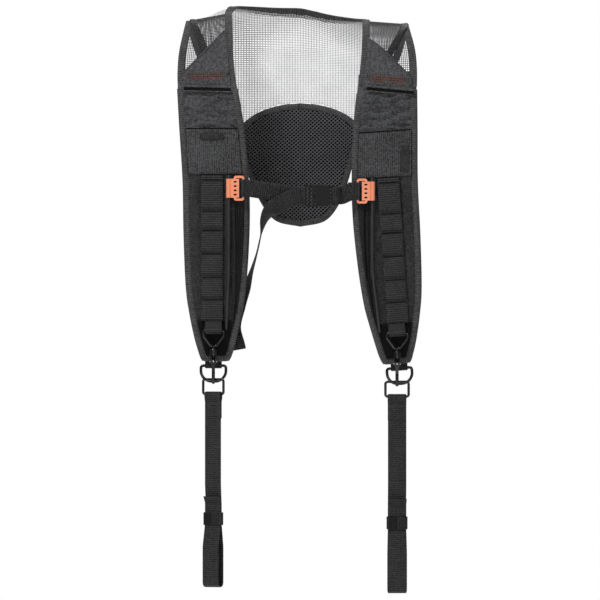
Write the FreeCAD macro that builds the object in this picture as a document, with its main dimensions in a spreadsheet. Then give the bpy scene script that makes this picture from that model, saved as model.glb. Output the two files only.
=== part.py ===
"""Padded load harness: two shoulder pads, a mesh yoke, a back pad, a sliding sternum strap and two
belt straps that hang from swivel hooks.

Millimetres. +X is the viewer's right, -Y is the front of the harness, +Z is up. The origin is the point
between the shoulders that rests on the wearer, level with the crest of the yoke.
"""
import FreeCAD, Part
import math
import os
from FreeCAD import Placement, Rotation, Vector

os.makedirs("parts", exist_ok=True)
doc = FreeCAD.newDocument("load_harness")

# ---------------------------------------------------------------- driving dimensions
SIZES = {
    # the worn form
    "half_depth": 52.0,        # front and back panels stand this far from the shoulder line
    "shoulder_drop": 40.0,     # the yoke is flat below this depth under the crest
    "crest_rise": 69.0,        # height of the yoke's arch at the neck
    "crest_fall": 0.19,        # how fast the arch gets lower towards the arm
    "mesh_thick": 1.2,
    "edge_thick": 3.0,         # folded binding tape over the mesh
    "edge_wide": 9.0,
    # the padded front panels
    "pad_top": 96.0,
    "pad_bottom": 477.0,
    "liner_thick": 1.8,
    "foam_thick": 8.0,
    "face_thick": 1.8,
    "foam_inset": 5.0,
    "binding_lip": 8.0,
    "binding_out": 1.0,
    "sleeve_top": 152.6,
    "sleeve_bottom": 215.6,
    "sleeve_thick": 1.6,
    "label_thick": 0.6,
    "right_lean": 3.8,         # degrees, the right panel stands a little outward
    "right_drop": 4.0,
    "lean_height": 237.0,
    # daisy chain
    "daisy_wide": 31.0,
    "daisy_thick": 1.6,
    "daisy_rise": 2.4,
    "fold_wide": 23.6,
    # back pad
    "back_foam": 9.6,
    "back_skin": 1.8,
    # sternum slider and its rail
    "rail_radius": 1.75,
    "stem_thick": 1.0,
    "slider_high": 26.5,
    "slider_frame": 35.0,
    "slider_thick": 2.2,
    "clip_inner": 2.15,
    "clip_outer": 3.7,
    # sternum webbing and buckle
    "sternum_wide": 24.4,
    "sternum_thick": 1.6,
    "buckle_high": 31.0,
    "buckle_deep": 12.0,
    "female_long": 31.0,
    "male_long": 13.0,
    "wall": 1.6,
    # hook chain
    "wire_radius": 1.8,
    "hook_radius": 2.3,
    "ring_radius": 2.0,
    "pin_radius": 1.0,
    "pin_long": 10.4,
    "gate_wide": 4.6,
    # lower straps
    "strap_wide": 26.0,
    "strap_thick": 1.8,
    "keeper_high": 18.0,
    "keeper_thick": 1.4,
}

sheet = doc.addObject("Spreadsheet::Sheet", "Sizes")
for row, (alias, value) in enumerate(SIZES.items(), start=1):
    sheet.set(f"A{row}", alias)
    sheet.set(f"B{row}", str(value))
    sheet.setAlias(f"B{row}", alias)
doc.recompute()

nodes = {}


def size(alias):
    """A driving dimension, read from the sheet."""
    return float(sheet.get(alias))


def keep(node, obj, placement=None):
    """Name a finished sub-part, place it and list it for export."""
    obj.Label = node
    if placement is not None:
        obj.Placement = placement
    nodes[node] = obj
    return obj


# ---------------------------------------------------------------- helpers: outlines and paths
def point(plane, a, b, depth=0.0):
    """A point in a plane: XZ (front view), YZ (side view) or XY (plan)."""
    if plane == "XZ":
        return Vector(a, depth, b)
    if plane == "YZ":
        return Vector(depth, a, b)
    return Vector(a, b, depth)


def spline(points):
    curve = Part.BSplineCurve()
    curve.interpolate(points)
    return curve.toShape()


def unit(a, b):
    length = math.dist(a, b)
    return ((b[0] - a[0]) / length, (b[1] - a[1]) / length)


def corner_arc(before, corner, after, radius):
    """Start, middle, end and centre of the arc that rounds one corner of a polyline."""
    u = unit(corner, before)
    v = unit(corner, after)
    half = math.acos(max(-1.0, min(1.0, u[0] * v[0] + u[1] * v[1]))) / 2
    setback = radius / math.tan(half)
    start = (corner[0] + u[0] * setback, corner[1] + u[1] * setback)
    end = (corner[0] + v[0] * setback, corner[1] + v[1] * setback)
    w = unit((0, 0), (u[0] + v[0], u[1] + v[1]))
    reach = radius / math.sin(half)
    centre = (corner[0] + w[0] * reach, corner[1] + w[1] * reach)
    middle = (centre[0] - w[0] * radius, centre[1] - w[1] * radius)
    turn = 1 if u[0] * v[1] - u[1] * v[0] < 0 else -1
    return start, middle, end, centre, turn


def rounded(points, radii, closed=False):
    """Straight runs and tangent arcs through a polyline, as a list of segments.

    A run is (start, end), an arc is (start, middle, end, centre, radius, turn)."""
    count = len(points)
    corners = range(count) if closed else range(1, count - 1)
    arcs = {}
    for i in corners:
        radius = radii if isinstance(radii, (int, float)) else radii[i]
        start, middle, end, centre, turn = corner_arc(points[i - 1], points[i], points[(i + 1) % count],
                                                      radius)
        arcs[i] = (start, middle, end, centre, radius, turn)
    segments = []
    for i in range(count if closed else count - 1):
        j = (i + 1) % count
        a = arcs[i][2] if i in arcs else points[i]
        b = arcs[j][0] if j in arcs else points[j]
        if math.dist(a, b) > 1e-4:
            segments.append((a, b))
        if j in arcs:
            segments.append(arcs[j])
    return segments


def edges_of(segments, plane, depth=0.0, offset=0.0):
    """Edges along the segments, or beside them at an offset to the left."""
    edges = []
    for s in segments:
        if len(s) == 2:
            u = unit(s[0], s[1])
            shift = (-u[1] * offset, u[0] * offset)
            a = point(plane, s[0][0] + shift[0], s[0][1] + shift[1], depth)
            b = point(plane, s[1][0] + shift[0], s[1][1] + shift[1], depth)
            edges.append(Part.LineSegment(a, b).toShape())
        else:
            centre = s[3]
            grow = (s[4] - offset * s[5]) / s[4]
            three = [point(plane, centre[0] + (p[0] - centre[0]) * grow,
                           centre[1] + (p[1] - centre[1]) * grow, depth)
                     for p in s[:3]]
            edges.append(Part.Arc(*three).toShape())
    return edges


def path_wire(segments, plane, depth=0.0):
    return Part.Wire(edges_of(segments, plane, depth))


def ribbon_wire(points, radii, thick, plane, depth=0.0):
    """The closed section of a strip of webbing that follows a rounded polyline."""
    segments = rounded(points, radii)
    left = edges_of(segments, plane, depth, thick / 2)
    right = edges_of(segments, plane, depth, -thick / 2)
    first = Part.LineSegment(right[0].firstVertex(True).Point, left[0].firstVertex(True).Point).toShape()
    last = Part.LineSegment(left[-1].lastVertex(True).Point, right[-1].lastVertex(True).Point).toShape()
    return Part.Wire(Part.sortEdges([first] + left + [last] + right)[0])


def outline(name, wire):
    """A section or outline that an extrusion, loft or sweep is made from."""
    helper = doc.addObject("Part::Feature", name)
    helper.Shape = wire
    return helper


def extrude(name, wire, direction, length):
    """A prism whose length is a cell of the sheet, or a plain reach for a cutting tool."""
    prism = doc.addObject("Part::Extrusion", name)
    prism.Base = outline(name + "_outline", wire)
    prism.DirMode = "Custom"
    prism.Dir = direction
    prism.Solid = True
    if isinstance(length, str):
        prism.setExpression("LengthFwd", length)
    else:
        prism.LengthFwd = length
    return prism


def boolean(kind, name, base, tool):
    result = doc.addObject("Part::" + kind, name)
    result.Base = base
    result.Tool = tool
    return result


def fuse_all(name, parts):
    result = doc.addObject("Part::MultiFuse", name)
    result.Shapes = parts
    result.Refine = True
    return result


def box(name, low, high):
    """A box between two corners."""
    block = doc.addObject("Part::Box", name)
    block.Length = high[0] - low[0]
    block.Width = high[1] - low[1]
    block.Height = high[2] - low[2]
    block.Placement.Base = Vector(*low)
    return block


def rod(name, centre, axis, radius, length):
    """A cylinder centred on a point. The radius and the length may be cells of the sheet."""
    part = doc.addObject("Part::Cylinder", name)
    for prop, value in (("Radius", radius), ("Height", length)):
        if isinstance(value, str):
            part.setExpression(prop, value)
        else:
            setattr(part, prop, value)
    doc.recompute([part])
    turn = Rotation(Vector(0, 0, 1), axis)
    part.Placement = Placement(Vector(*centre) - axis.normalize() * (float(part.Height) / 2), turn)
    return part


def sweep(name, profile, path, solid=True):
    pipe = doc.addObject("Part::Sweep", name)
    pipe.Sections = [outline(name + "_section", profile)]
    pipe.Spine = (outline(name + "_path", path), [f"Edge{i + 1}" for i in range(len(path.Edges))])
    pipe.Solid = solid
    pipe.Frenet = False
    return pipe


def round_section(segments, plane, radius, depth=0.0):
    """A circle square to the start of a path."""
    a = segments[0][0]
    b = segments[0][1]
    start = point(plane, a[0], a[1], depth)
    along = (point(plane, b[0], b[1], depth) - start).normalize()
    return Part.Wire(Part.Circle(start, along, radius).toShape())


def wire_rod(name, points, radii, plane, radius, depth=0.0, closed=False):
    """A bent round rod, open or closed into a ring."""
    segments = rounded(points, radii, closed)
    if closed:
        while len(segments[0]) != 2:
            segments = segments[1:] + segments[:1]
    return sweep(name, round_section(segments, plane, radius, depth), path_wire(segments, plane, depth))


def body_block(name, plane_role, loops, length, centred=True):
    """A PartDesign body: one sketch of closed straight-sided loops, padded by a cell of the sheet."""
    body = doc.addObject("PartDesign::Body", name)
    sketch = body.newObject("Sketcher::SketchObject", name + "_sketch")
    plane = [f for f in body.Origin.OriginFeatures if f.Role == plane_role][0]
    sketch.AttachmentSupport = (plane, "")
    sketch.MapMode = "FlatFace"
    for loop in loops:
        for a, b in zip(loop, loop[1:] + loop[:1]):
            sketch.addGeometry(Part.LineSegment(Vector(a[0], a[1], 0), Vector(b[0], b[1], 0)), False)
    pad = body.newObject("PartDesign::Pad", name + "_pad")
    pad.Profile = sketch
    pad.Midplane = centred
    pad.setExpression("Length", length)
    body.Tip = pad
    return body


def rectangle(width, height, cx=0.0, cy=0.0):
    w = width / 2
    v = height / 2
    return [(cx - w, cy - v), (cx + w, cy - v), (cx + w, cy + v), (cx - w, cy + v)]


# ---------------------------------------------------------------- the worn form
DEPTH = size("half_depth")
DROP = size("shoulder_drop")
RISE = size("crest_rise")
FALL = size("crest_fall")
PAD_TOP = -size("pad_top")
PAD_BOTTOM = -size("pad_bottom")
ARM_REACH = 180.0
BACK_LEG = -160.0
FRONT_LEG = PAD_TOP - 12.0


def side_placement(side):
    """The left panel stands straight, the right one is turned a little outward and hangs lower."""
    if side < 0:
        return Placement()
    pivot = Vector(120.0, 0, -size("lean_height"))
    turn = Rotation(Vector(0, 1, 0), -size("right_lean"))
    return Placement(Vector(0, 0, -size("right_drop")), turn, pivot)


# distance from the middle plane and height, down the arm side and up the neck side
YOKE_OUTER = [(161.0, -2.0), (170.0, -43.0), (172.4, -72.0), (172.0, -96.0)]
YOKE_INNER = [(88.6, -96.0), (91.4, -78.0), (94.5, -43.0), (96.0, 11.0)]
PAD_OUTER = [(172.0, -96.0), (169.0, -150.0), (164.4, -225.0), (163.0, -300.0), (160.0, -372.0),
             (155.0, -410.0), (147.0, -448.0), (138.0, -477.0)]
PAD_INNER = [(99.7, -477.0), (94.9, -463.4), (84.7, -420.0), (79.0, -390.0), (74.2, -337.0),
             (71.8, -275.0), (73.5, -221.0), (80.0, -150.0), (88.6, -96.0)]
BACK_OUTER = [(161.0, -2.0), (146.0, -50.0), (118.0, -105.0), (88.0, -150.0)]

# the right shoulder sits closer to the neck than the left one, and its patch starts lower
SHOULDER_IN = {-1: 0.0, 1: 9.0}
PATCH_DROP = {-1: 0.0, 1: 8.0}
YOKE_LOW = {-1: (-94.0, -94.0), 1: (-95.2, -100.4)}    # arm side and neck side, just above the pad


def shifted(points, distance):
    """Points moved to the right of their run."""
    moved = []
    for i, p in enumerate(points):
        u = unit(points[max(i - 1, 0)], points[min(i + 1, len(points) - 1)])
        moved.append((p[0] + u[1] * distance, p[1] - u[0] * distance))
    return moved


def moved_in(points, side):
    """The yoke's edge on one side. The back edge meets the back pad at the same place on both sides."""
    amount = SHOULDER_IN[side]
    low = points[-1][1]
    if points is BACK_OUTER:
        return [(a - amount * (b - low) / (points[0][1] - low), b) for a, b in points]
    return [(a - amount, b) for a, b in points]


def panel_wire(side, outer, inner, inset, depth, top=None, bottom=None):
    """A closed outline: down the arm side, across, up the neck side, across."""
    down = shifted(outer, inset)
    up = shifted(inner, inset)
    if top is not None:
        down[0] = (down[0][0], top)
        up[-1] = (up[-1][0], top)
    if bottom is not None:
        down[-1] = (down[-1][0], bottom[0])
        up[0] = (up[0][0], bottom[1])
    left = [Vector(side * a, depth, b) for a, b in down]
    right = [Vector(side * a, depth, b) for a, b in up]
    edges = [spline(left), Part.makeLine(left[-1], right[0]), spline(right),
             Part.makeLine(right[-1], left[0])]
    return Part.Wire(edges)


def pad_wire(side, inset, depth):
    low = PAD_BOTTOM + inset
    return panel_wire(side, PAD_OUTER, PAD_INNER, inset, depth, PAD_TOP - inset, (low, low))


def x_at(points, height):
    """Distance from the middle plane where an outline crosses a height."""
    for (xa, za), (xb, zb) in zip(points, points[1:]):
        if min(za, zb) <= height <= max(za, zb):
            return xa + (xb - xa) * (height - za) / (zb - za)
    raise ValueError(height)


def arch_wire(x, inner, outer, front_leg, back_leg):
    """The section of a yoke layer at one distance from the middle plane."""
    rise = RISE - FALL * abs(x)
    steps = 12

    def arch(off):
        points = []
        for i in range(steps + 1):
            angle = math.pi * i / steps
            y = -(DEPTH + off) * math.cos(angle)
            z = -DROP + (rise + off) * math.sin(angle)
            points.append(Vector(x, y, z))
        return points

    out = arch(outer)
    into = arch(inner)
    front_out = Vector(x, out[0].y, front_leg)
    front_in = Vector(x, into[0].y, front_leg)
    back_out = Vector(x, out[-1].y, back_leg)
    back_in = Vector(x, into[-1].y, back_leg)
    return Part.Wire([
        Part.makeLine(front_out, out[0]), spline(out), Part.makeLine(out[-1], back_out),
        Part.makeLine(back_out, back_in), Part.makeLine(back_in, into[-1]), spline(into[::-1]),
        Part.makeLine(into[0], front_in), Part.makeLine(front_in, front_out)])


def yoke_shell(name, side, inner, outer):
    """One half of a layer of the yoke, from the middle plane past the arm."""
    shell = doc.addObject("Part::Loft", name)
    shell.Sections = [
        outline(name + "_arm", arch_wire(side * ARM_REACH, inner, outer, FRONT_LEG, BACK_LEG)),
        outline(name + "_neck", arch_wire(0, inner, outer, FRONT_LEG, BACK_LEG))]
    shell.Solid = True
    shell.Ruled = True
    return shell


def front_prism(name, wire):
    """An outline pushed through the front half, from the shoulder line forward."""
    return extrude(name, wire, Vector(0, -1, 0), DEPTH + 40.0)


def back_prism(name, wire):
    return extrude(name, wire, Vector(0, 1, 0), DEPTH + 40.0)


# ---------------------------------------------------------------- shoulders: mesh, bindings, patches
SEAM = 0.1
EDGE = size("edge_wide")
HALF_MESH = size("mesh_thick") / 2
HALF_EDGE = size("edge_thick") / 2
PATCH_HIGH_SIDE = (94.5, -13.0)
PATCH_LOW_SIDE = (172.4, -74.0)
PATCH_SLOPE = 0.78


def strip_wire(side, points, wide, depth, top, bottom):
    """A band of binding along one edge of a panel, on its inner side."""
    near = shifted(points, 0.0)
    far = shifted(points, wide)
    near[0] = (near[0][0], top if near[0][1] > near[-1][1] else bottom)
    near[-1] = (near[-1][0], bottom if near[0][1] > near[-1][1] else top)
    far[0] = (far[0][0], near[0][1])
    far[-1] = (far[-1][0], near[-1][1])
    a = [Vector(side * p[0], depth, p[1]) for p in near]
    b = [Vector(side * p[0], depth, p[1]) for p in far[::-1]]
    return Part.Wire([spline(a), Part.makeLine(a[-1], b[0]), spline(b), Part.makeLine(b[-1], a[0])])


STABILISER_TOP = (146.0, -6.0)
STABILISER_LOW = (133.0, -44.0)
STABILISER_HALF = 4.6
FIELD_GAP = 30.0               # yoke outlines run this high above the crest, to cut right through it


def build_yoke(side, tag):
    """Shoulder mesh, arm binding, nylon patch and stabiliser webbing of one side."""
    mesh_layer = yoke_shell("mesh_layer_" + tag, side, -HALF_MESH, HALF_MESH)
    edge_layer = yoke_shell("edge_layer_" + tag, side, -HALF_EDGE, HALF_EDGE)
    web_layer = yoke_shell("web_layer_" + tag, side, HALF_MESH + SEAM, HALF_MESH + SEAM + 1.5)

    # the slanted line from the neck side down to the arm side, where mesh gives way to nylon
    drop = PATCH_DROP[side]
    high = (PATCH_HIGH_SIDE[0] - 20.0, PATCH_HIGH_SIDE[1] + 20.0 * PATCH_SLOPE - drop)
    low = (PATCH_LOW_SIDE[0] + 20.0, PATCH_LOW_SIDE[1] - 20.0 * PATCH_SLOPE - drop)
    above = Part.makePolygon([
        Vector(side * high[0], 0, high[1]), Vector(side * low[0], 0, low[1]),
        Vector(side * low[0], 0, 60), Vector(side * high[0], 0, 60), Vector(side * high[0], 0, high[1])])
    above_prism = front_prism("above_slant_" + tag, above)

    outer = moved_in(YOKE_OUTER, side)
    inner = moved_in(YOKE_INNER, side)
    low_arm, low_neck = YOKE_LOW[side]
    field = panel_wire(side, outer, inner, EDGE + 4 * SEAM, 0, FIELD_GAP, (low_arm, low_neck))
    field_layer = boolean("Common", "front_field_" + tag, mesh_layer,
                          front_prism("field_prism_" + tag, field))
    keep("yoke_patch_" + tag, boolean("Cut", "yoke_patch_" + tag, field_layer, above_prism))
    keep("shoulder_mesh_" + tag, boolean("Common", "shoulder_mesh_" + tag, field_layer, above_prism))

    # arm binding: down the front to the pad, and down the back to the back pad
    front_edge = strip_wire(side, outer, EDGE, 0, FIELD_GAP, low_arm)
    front_part = boolean("Common", "arm_front_" + tag, edge_layer,
                         front_prism("arm_front_prism_" + tag, front_edge))
    back_edge = strip_wire(side, moved_in(BACK_OUTER, side), EDGE, 0, FIELD_GAP, BACK_OUTER[-1][1])
    behind = boolean("Common", "arm_behind_" + tag, edge_layer,
                     back_prism("arm_back_prism_" + tag, back_edge))
    back_part = boolean("Cut", "arm_back_" + tag, behind, back_pad_room("arm_room_" + tag))
    keep("arm_binding_" + tag, fuse_all("arm_binding_" + tag, [front_part, back_part]))

    # stabiliser webbing: a slanted band over the mesh, from the crest to the patch
    start = (STABILISER_TOP[0] - SHOULDER_IN[side], STABILISER_TOP[1])
    end = (STABILISER_LOW[0] - SHOULDER_IN[side], STABILISER_LOW[1] - drop)
    half = STABILISER_HALF
    corners = [(start[0] - half, FIELD_GAP), (start[0] + half, FIELD_GAP), (start[0] + half, start[1]),
               (end[0] + half, end[1]), (end[0] - half, end[1]), (start[0] - half, start[1])]
    band = Part.makePolygon([Vector(side * a, 0, b) for a, b in corners + corners[:1]])
    keep("stabiliser_webbing_" + tag,
         boolean("Common", "stabiliser_webbing_" + tag, web_layer,
                 front_prism("stabiliser_prism_" + tag, band)))


NECK_HALF = 96.0
NECK_BACK = 30.0


def neck_prism(name, side, grow):
    """One half of the neck opening in plan: a quarter of an ellipse behind the shoulder line."""
    major = NECK_HALF - SHOULDER_IN[side] + grow
    minor = NECK_BACK + grow
    base = -20.0
    ellipse = Part.Ellipse(Vector(0, 0, base), major, minor)
    arc = Part.Arc(ellipse, 0, math.pi / 2) if side > 0 else Part.Arc(ellipse, math.pi / 2, math.pi)
    over = -side * 1.0
    around = Part.makePolygon([Vector(side * major, 0, base), Vector(side * major, -1, base),
                               Vector(over, -1, base),
                               Vector(over, minor, base), Vector(0, minor, base)])
    return extrude(name, Part.Wire(Part.sortEdges([arc.toShape()] + around.Edges)[0]), Vector(0, 0, 1), 80.0)


def build_back_mesh():
    """The mesh across the back and the binding round the neck."""
    halves = []
    rims = []
    for side, tag in ((-1, "left"), (1, "right")):
        arm = shifted(moved_in(BACK_OUTER, side), EDGE + SEAM)
        arm[0] = (arm[0][0], 30.0)
        arm[-1] = (arm[-1][0], BACK_OUTER[-1][1])
        run = [Vector(side * a, 0, b) for a, b in arm]
        crown = Vector(0, 0, 40)
        foot = Vector(0, 0, run[-1].z)
        wire = Part.Wire([
            spline(run), Part.makeLine(run[-1], foot), Part.makeLine(foot, crown),
            Part.makeLine(crown, Vector(run[0].x, 0, 40)), Part.makeLine(Vector(run[0].x, 0, 40), run[0])])
        whole = boolean("Common", "back_half_" + tag, doc.getObject("mesh_layer_" + tag),
                        back_prism("back_prism_" + tag, wire))
        layer = boolean("Cut", "back_layer_" + tag, whole, back_pad_room("mesh_room_" + tag))
        halves.append(boolean("Cut", "back_field_" + tag, layer,
                              neck_prism("neck_field_" + tag, side, EDGE + SEAM)))

        # the neck binding: along the pad's neck edge at the front, then round the neck at the back
        edge_layer = doc.getObject("edge_layer_" + tag)
        strip = strip_wire(side, moved_in(YOKE_INNER, side), EDGE, 0, FIELD_GAP, YOKE_LOW[side][1])
        rims.append(boolean("Common", "neck_front_" + tag, edge_layer,
                            front_prism("neck_front_prism_" + tag, strip)))
        ring = boolean("Cut", "neck_ring_" + tag, neck_prism("neck_out_" + tag, side, EDGE),
                       neck_prism("neck_in_" + tag, side, 0))
        behind = box("neck_side_" + tag, (min(0, side * 200), 0, -30), (max(0, side * 200), 60, 70))
        arc = boolean("Common", "neck_arc_" + tag, ring, behind)
        rims.append(boolean("Common", "neck_back_" + tag, edge_layer, arc))
    keep("back_mesh", fuse_all("back_mesh", halves))
    keep("neck_binding", fuse_all("neck_binding", rims))


# ---------------------------------------------------------------- back pad
BACK_FRONT_FACE = 48.0
BACK_SIDE = [(88.0, -150.0), (76.0, -190.0), (66.0, -225.0), (54.0, -256.0), (34.0, -280.0), (0.0, -288.0)]


BACK_TOP = [(0.0, -116.0), (30.0, -119.4), (60.0, -129.6), (88.0, -150.0)]


def back_pad_wire(inset, depth):
    top = shifted(BACK_TOP, inset)
    side = shifted(BACK_SIDE, inset)
    top[0] = (0.0, top[0][1])
    side[-1] = (0.0, side[-1][1])
    side[0] = top[-1] = (BACK_SIDE[0][0] - inset * 1.6, BACK_SIDE[0][1] - inset * 0.7)
    right_top = [Vector(a, depth, b) for a, b in top]
    right_side = [Vector(a, depth, b) for a, b in side]
    whole_top = [Vector(-v.x, depth, v.z) for v in right_top[::-1]] + right_top[1:]
    whole_side = right_side + [Vector(-v.x, depth, v.z) for v in right_side[-2::-1]]
    return Part.Wire([spline(whole_top), spline(whole_side)])


def back_pad_room(name):
    """The space the back pad takes out of the mesh and the bindings above it."""
    return extrude(name, back_pad_wire(-size("binding_out") - 2 * SEAM, 30.0), Vector(0, 1, 0), 60.0)


def build_back_pad():
    skin = size("back_skin")
    foam = size("back_foam")
    lip = size("binding_lip")
    air = 0.2
    back = BACK_FRONT_FACE
    keep("back_pad_face", extrude("back_pad_face", back_pad_wire(0, back), Vector(0, 1, 0),
                                  "Sizes.back_skin"))
    keep("back_pad_foam", extrude("back_pad_foam", back_pad_wire(5, back + skin + air), Vector(0, 1, 0),
                                  "Sizes.back_foam"))
    keep("back_pad_shell", extrude("back_pad_shell", back_pad_wire(0, back + skin + foam + 2 * air),
                                   Vector(0, 1, 0), "Sizes.back_skin"))
    total = 2 * skin + foam + 2 * air
    ring = extrude("back_ring", back_pad_wire(-size("binding_out"), back - 1), Vector(0, 1, 0), total + 2)
    window = extrude("back_window", back_pad_wire(lip, back - 2), Vector(0, 1, 0), total + 4)
    groove = extrude("back_groove", back_pad_wire(-SEAM, back - SEAM), Vector(0, 1, 0), total + 2 * SEAM)
    frame = boolean("Cut", "back_frame", ring, window)
    keep("back_pad_binding", boolean("Cut", "back_pad_binding", frame, groove))


# ---------------------------------------------------------------- front pads
FACE_FRONT = -(DEPTH + size("liner_thick") + size("foam_thick") + size("face_thick") + 0.4)


def build_pad(side, tag):
    """Liner, foam, nylon face and the binding that wraps their edge."""
    place = side_placement(side)
    liner = size("liner_thick")
    foam = size("foam_thick")
    face = size("face_thick")
    air = 0.2
    back = -DEPTH
    forward = Vector(0, -1, 0)
    keep("pad_liner_" + tag, extrude("pad_liner_" + tag, pad_wire(side, 0, back), forward,
                                     "Sizes.liner_thick"), place)
    keep("pad_foam_" + tag, extrude("pad_foam_" + tag, pad_wire(side, size("foam_inset"), back - liner - air),
                                    forward, "Sizes.foam_thick"), place)
    keep("pad_face_" + tag, extrude("pad_face_" + tag, pad_wire(side, 0, back - liner - foam - 2 * air),
                                    forward,
                                    "Sizes.face_thick"), place)
    total = liner + foam + face + 2 * air
    ring = extrude("pad_ring_" + tag, pad_wire(side, -size("binding_out"), back + 1), forward, total + 2)
    window = extrude("pad_window_" + tag, pad_wire(side, size("binding_lip"), back + 2), forward, total + 4)
    groove = extrude("pad_groove_" + tag, pad_wire(side, -SEAM, back + SEAM), forward, total + 2 * SEAM)
    frame = boolean("Cut", "pad_frame_" + tag, ring, window)
    keep("pad_binding_" + tag, boolean("Cut", "pad_binding_" + tag, frame, groove), place)


def build_sleeve(side, tag):
    """The ribbed sleeve across the chest and the small blank label on it."""
    place = side_placement(side)
    top = -size("sleeve_top")
    bottom = -size("sleeve_bottom")
    gap = size("binding_lip") + 1.0
    rows = [top + (bottom - top) * i / 3 for i in range(4)]
    down = [Vector(side * (x_at(PAD_OUTER, z) - gap), FACE_FRONT - SEAM, z) for z in rows]
    up = [Vector(side * (x_at(PAD_INNER, z) + gap), FACE_FRONT - SEAM, z) for z in rows[::-1]]
    wire = Part.Wire([spline(down), Part.makeLine(down[-1], up[0]), spline(up),
                      Part.makeLine(up[-1], down[0])])
    keep("chest_sleeve_" + tag, extrude("chest_sleeve_" + tag, wire, Vector(0, -1, 0),
                                        "Sizes.sleeve_thick"), place)

    wide, high = (33.0, 7.4) if side < 0 else (8.4, 40.0)
    across, level = (124.0, -163.0) if side < 0 else (149.0, -190.0)
    label = body_block("label_" + tag, "XZ_Plane", [rectangle(wide, high)], "Sizes.label_thick")
    depth = FACE_FRONT - SEAM - size("sleeve_thick") - SEAM - size("label_thick") / 2
    keep("label_" + tag, label, place.multiply(Placement(Vector(side * across, depth, level), Rotation())))


# ---------------------------------------------------------------- daisy chain, end tab and rail
DAISY_X = 124.0
CHAIN_X = 122.0
CHAIN_Y = -75.0
BAR_Z = -435.0
FOLD_PLAY = 1.3
DAISY_SEAMS = [-224.0, -267.4, -294.7, -327.6, -360.5, -392.0, -420.0]


def build_daisy(side, tag):
    """Webbing sewn down at intervals, whose last fold carries the hook's eye."""
    thick = size("daisy_thick")
    rise = size("daisy_rise")
    down_y = FACE_FRONT - 0.3 - thick / 2
    up_y = down_y - rise
    place = side_placement(side)
    points = [(down_y, -217.5)]
    for high, low in zip(DAISY_SEAMS, DAISY_SEAMS[1:]):
        slope = 5.0
        points += [(down_y, high - 1), (up_y, high - 1 - slope), (up_y, low + 1 + slope), (down_y, low + 1)]
    points = points[:-2] + [(up_y, DAISY_SEAMS[-1] - 1)]
    upper = extrude("daisy_upper_" + tag, ribbon_wire(points, 4.0, thick, "YZ", side * DAISY_X
                    - size("daisy_wide") / 2), Vector(1, 0, 0), "Sizes.daisy_wide")
    loop = size("wire_radius") + FOLD_PLAY + thick / 2
    fold = [(up_y, DAISY_SEAMS[-1] + 4), (up_y, -423.0), (CHAIN_Y - loop, -432.0),
            (CHAIN_Y - loop, BAR_Z - loop),
            (CHAIN_Y + loop, BAR_Z - loop), (CHAIN_Y + loop, -433.0), (down_y, -428.5), (down_y, -422.5)]
    radii = [0, 4.0, 3.5, loop, loop, 2.6, 2.6, 0]
    lower = extrude("daisy_fold_" + tag, ribbon_wire(fold, radii, thick, "YZ", side * CHAIN_X
                    - size("fold_wide") / 2), Vector(1, 0, 0), "Sizes.fold_wide")
    keep("daisy_webbing_" + tag, fuse_all("daisy_webbing_" + tag, [upper, lower]), place)


RING_BAR = (-47.0, -484.0)


def build_end_ring(side, tag):
    """The D-ring behind the pad's end and the tab that holds its bar."""
    place = side_placement(side)
    thick = size("daisy_thick")
    radius = size("ring_radius")
    loop = radius + 0.2 + thick / 2
    y, z = RING_BAR
    tab = [(y - loop, -450.0), (y - loop, z - loop), (y + loop, z - loop), (y + loop, -474.0)]
    keep("end_tab_" + tag, extrude("end_tab_" + tag, ribbon_wire(tab, loop, thick, "YZ", side * CHAIN_X
         - size("fold_wide") / 2), Vector(1, 0, 0), "Sizes.fold_wide"), place)
    half = 17.5
    deep = 22.0
    ring = [(-half, z), (half, z), (half, z - deep), (-half, z - deep)]
    ring = [(side * CHAIN_X + a, b) for a, b in ring]
    keep("end_ring_" + tag, wire_rod("end_ring_" + tag, ring, [3.5, 3.5, 15.0, 15.0], "XZ", radius, y,
                                     True), place)


RAIL_X = 100.5
RAIL_TOP = -217.0
RAIL_STRAIGHT = -348.0
RAIL_END = (104.0, -434.0)
RAIL_Y = FACE_FRONT - 4.2


def build_rail(side, tag):
    """Piping on a stem, straight where the slider runs and then following the pad."""
    drop = 0 if side < 0 else size("right_drop")
    end_x = RAIL_END[0] if side < 0 else RAIL_END[0] + 7.0
    radius = size("rail_radius")
    stem = size("stem_thick") / 2
    foot = FACE_FRONT - 0.15
    z = RAIL_TOP - drop
    x = side * RAIL_X
    angle = math.asin(stem / radius)
    touch = RAIL_Y + radius * math.cos(angle)
    arc = Part.Arc(Vector(x + stem, touch, z), Vector(x, RAIL_Y - radius, z),
                   Vector(x - stem, touch, z)).toShape()
    section = Part.Wire([arc, Part.makeLine(Vector(x - stem, touch, z), Vector(x - stem, foot, z)),
                         Part.makeLine(Vector(x - stem, foot, z), Vector(x + stem, foot, z)),
                         Part.makeLine(Vector(x + stem, foot, z), Vector(x + stem, touch, z))])
    run = rounded([(x, z), (x, RAIL_STRAIGHT - drop), (side * end_x, RAIL_END[1] - drop)], 300.0)
    keep("slider_rail_" + tag, sweep("slider_rail_" + tag, section, path_wire(run, "XZ", RAIL_Y)))


# ---------------------------------------------------------------- sternum slider
SLIDER_Z = {-1: -235.5, 1: -239.5}
SLIDER_BAR = 20.0      # the webbing bar stands this far inward of the rail
BAR_RADIUS = 1.5
BAR_Y = RAIL_Y - 2.6


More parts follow.
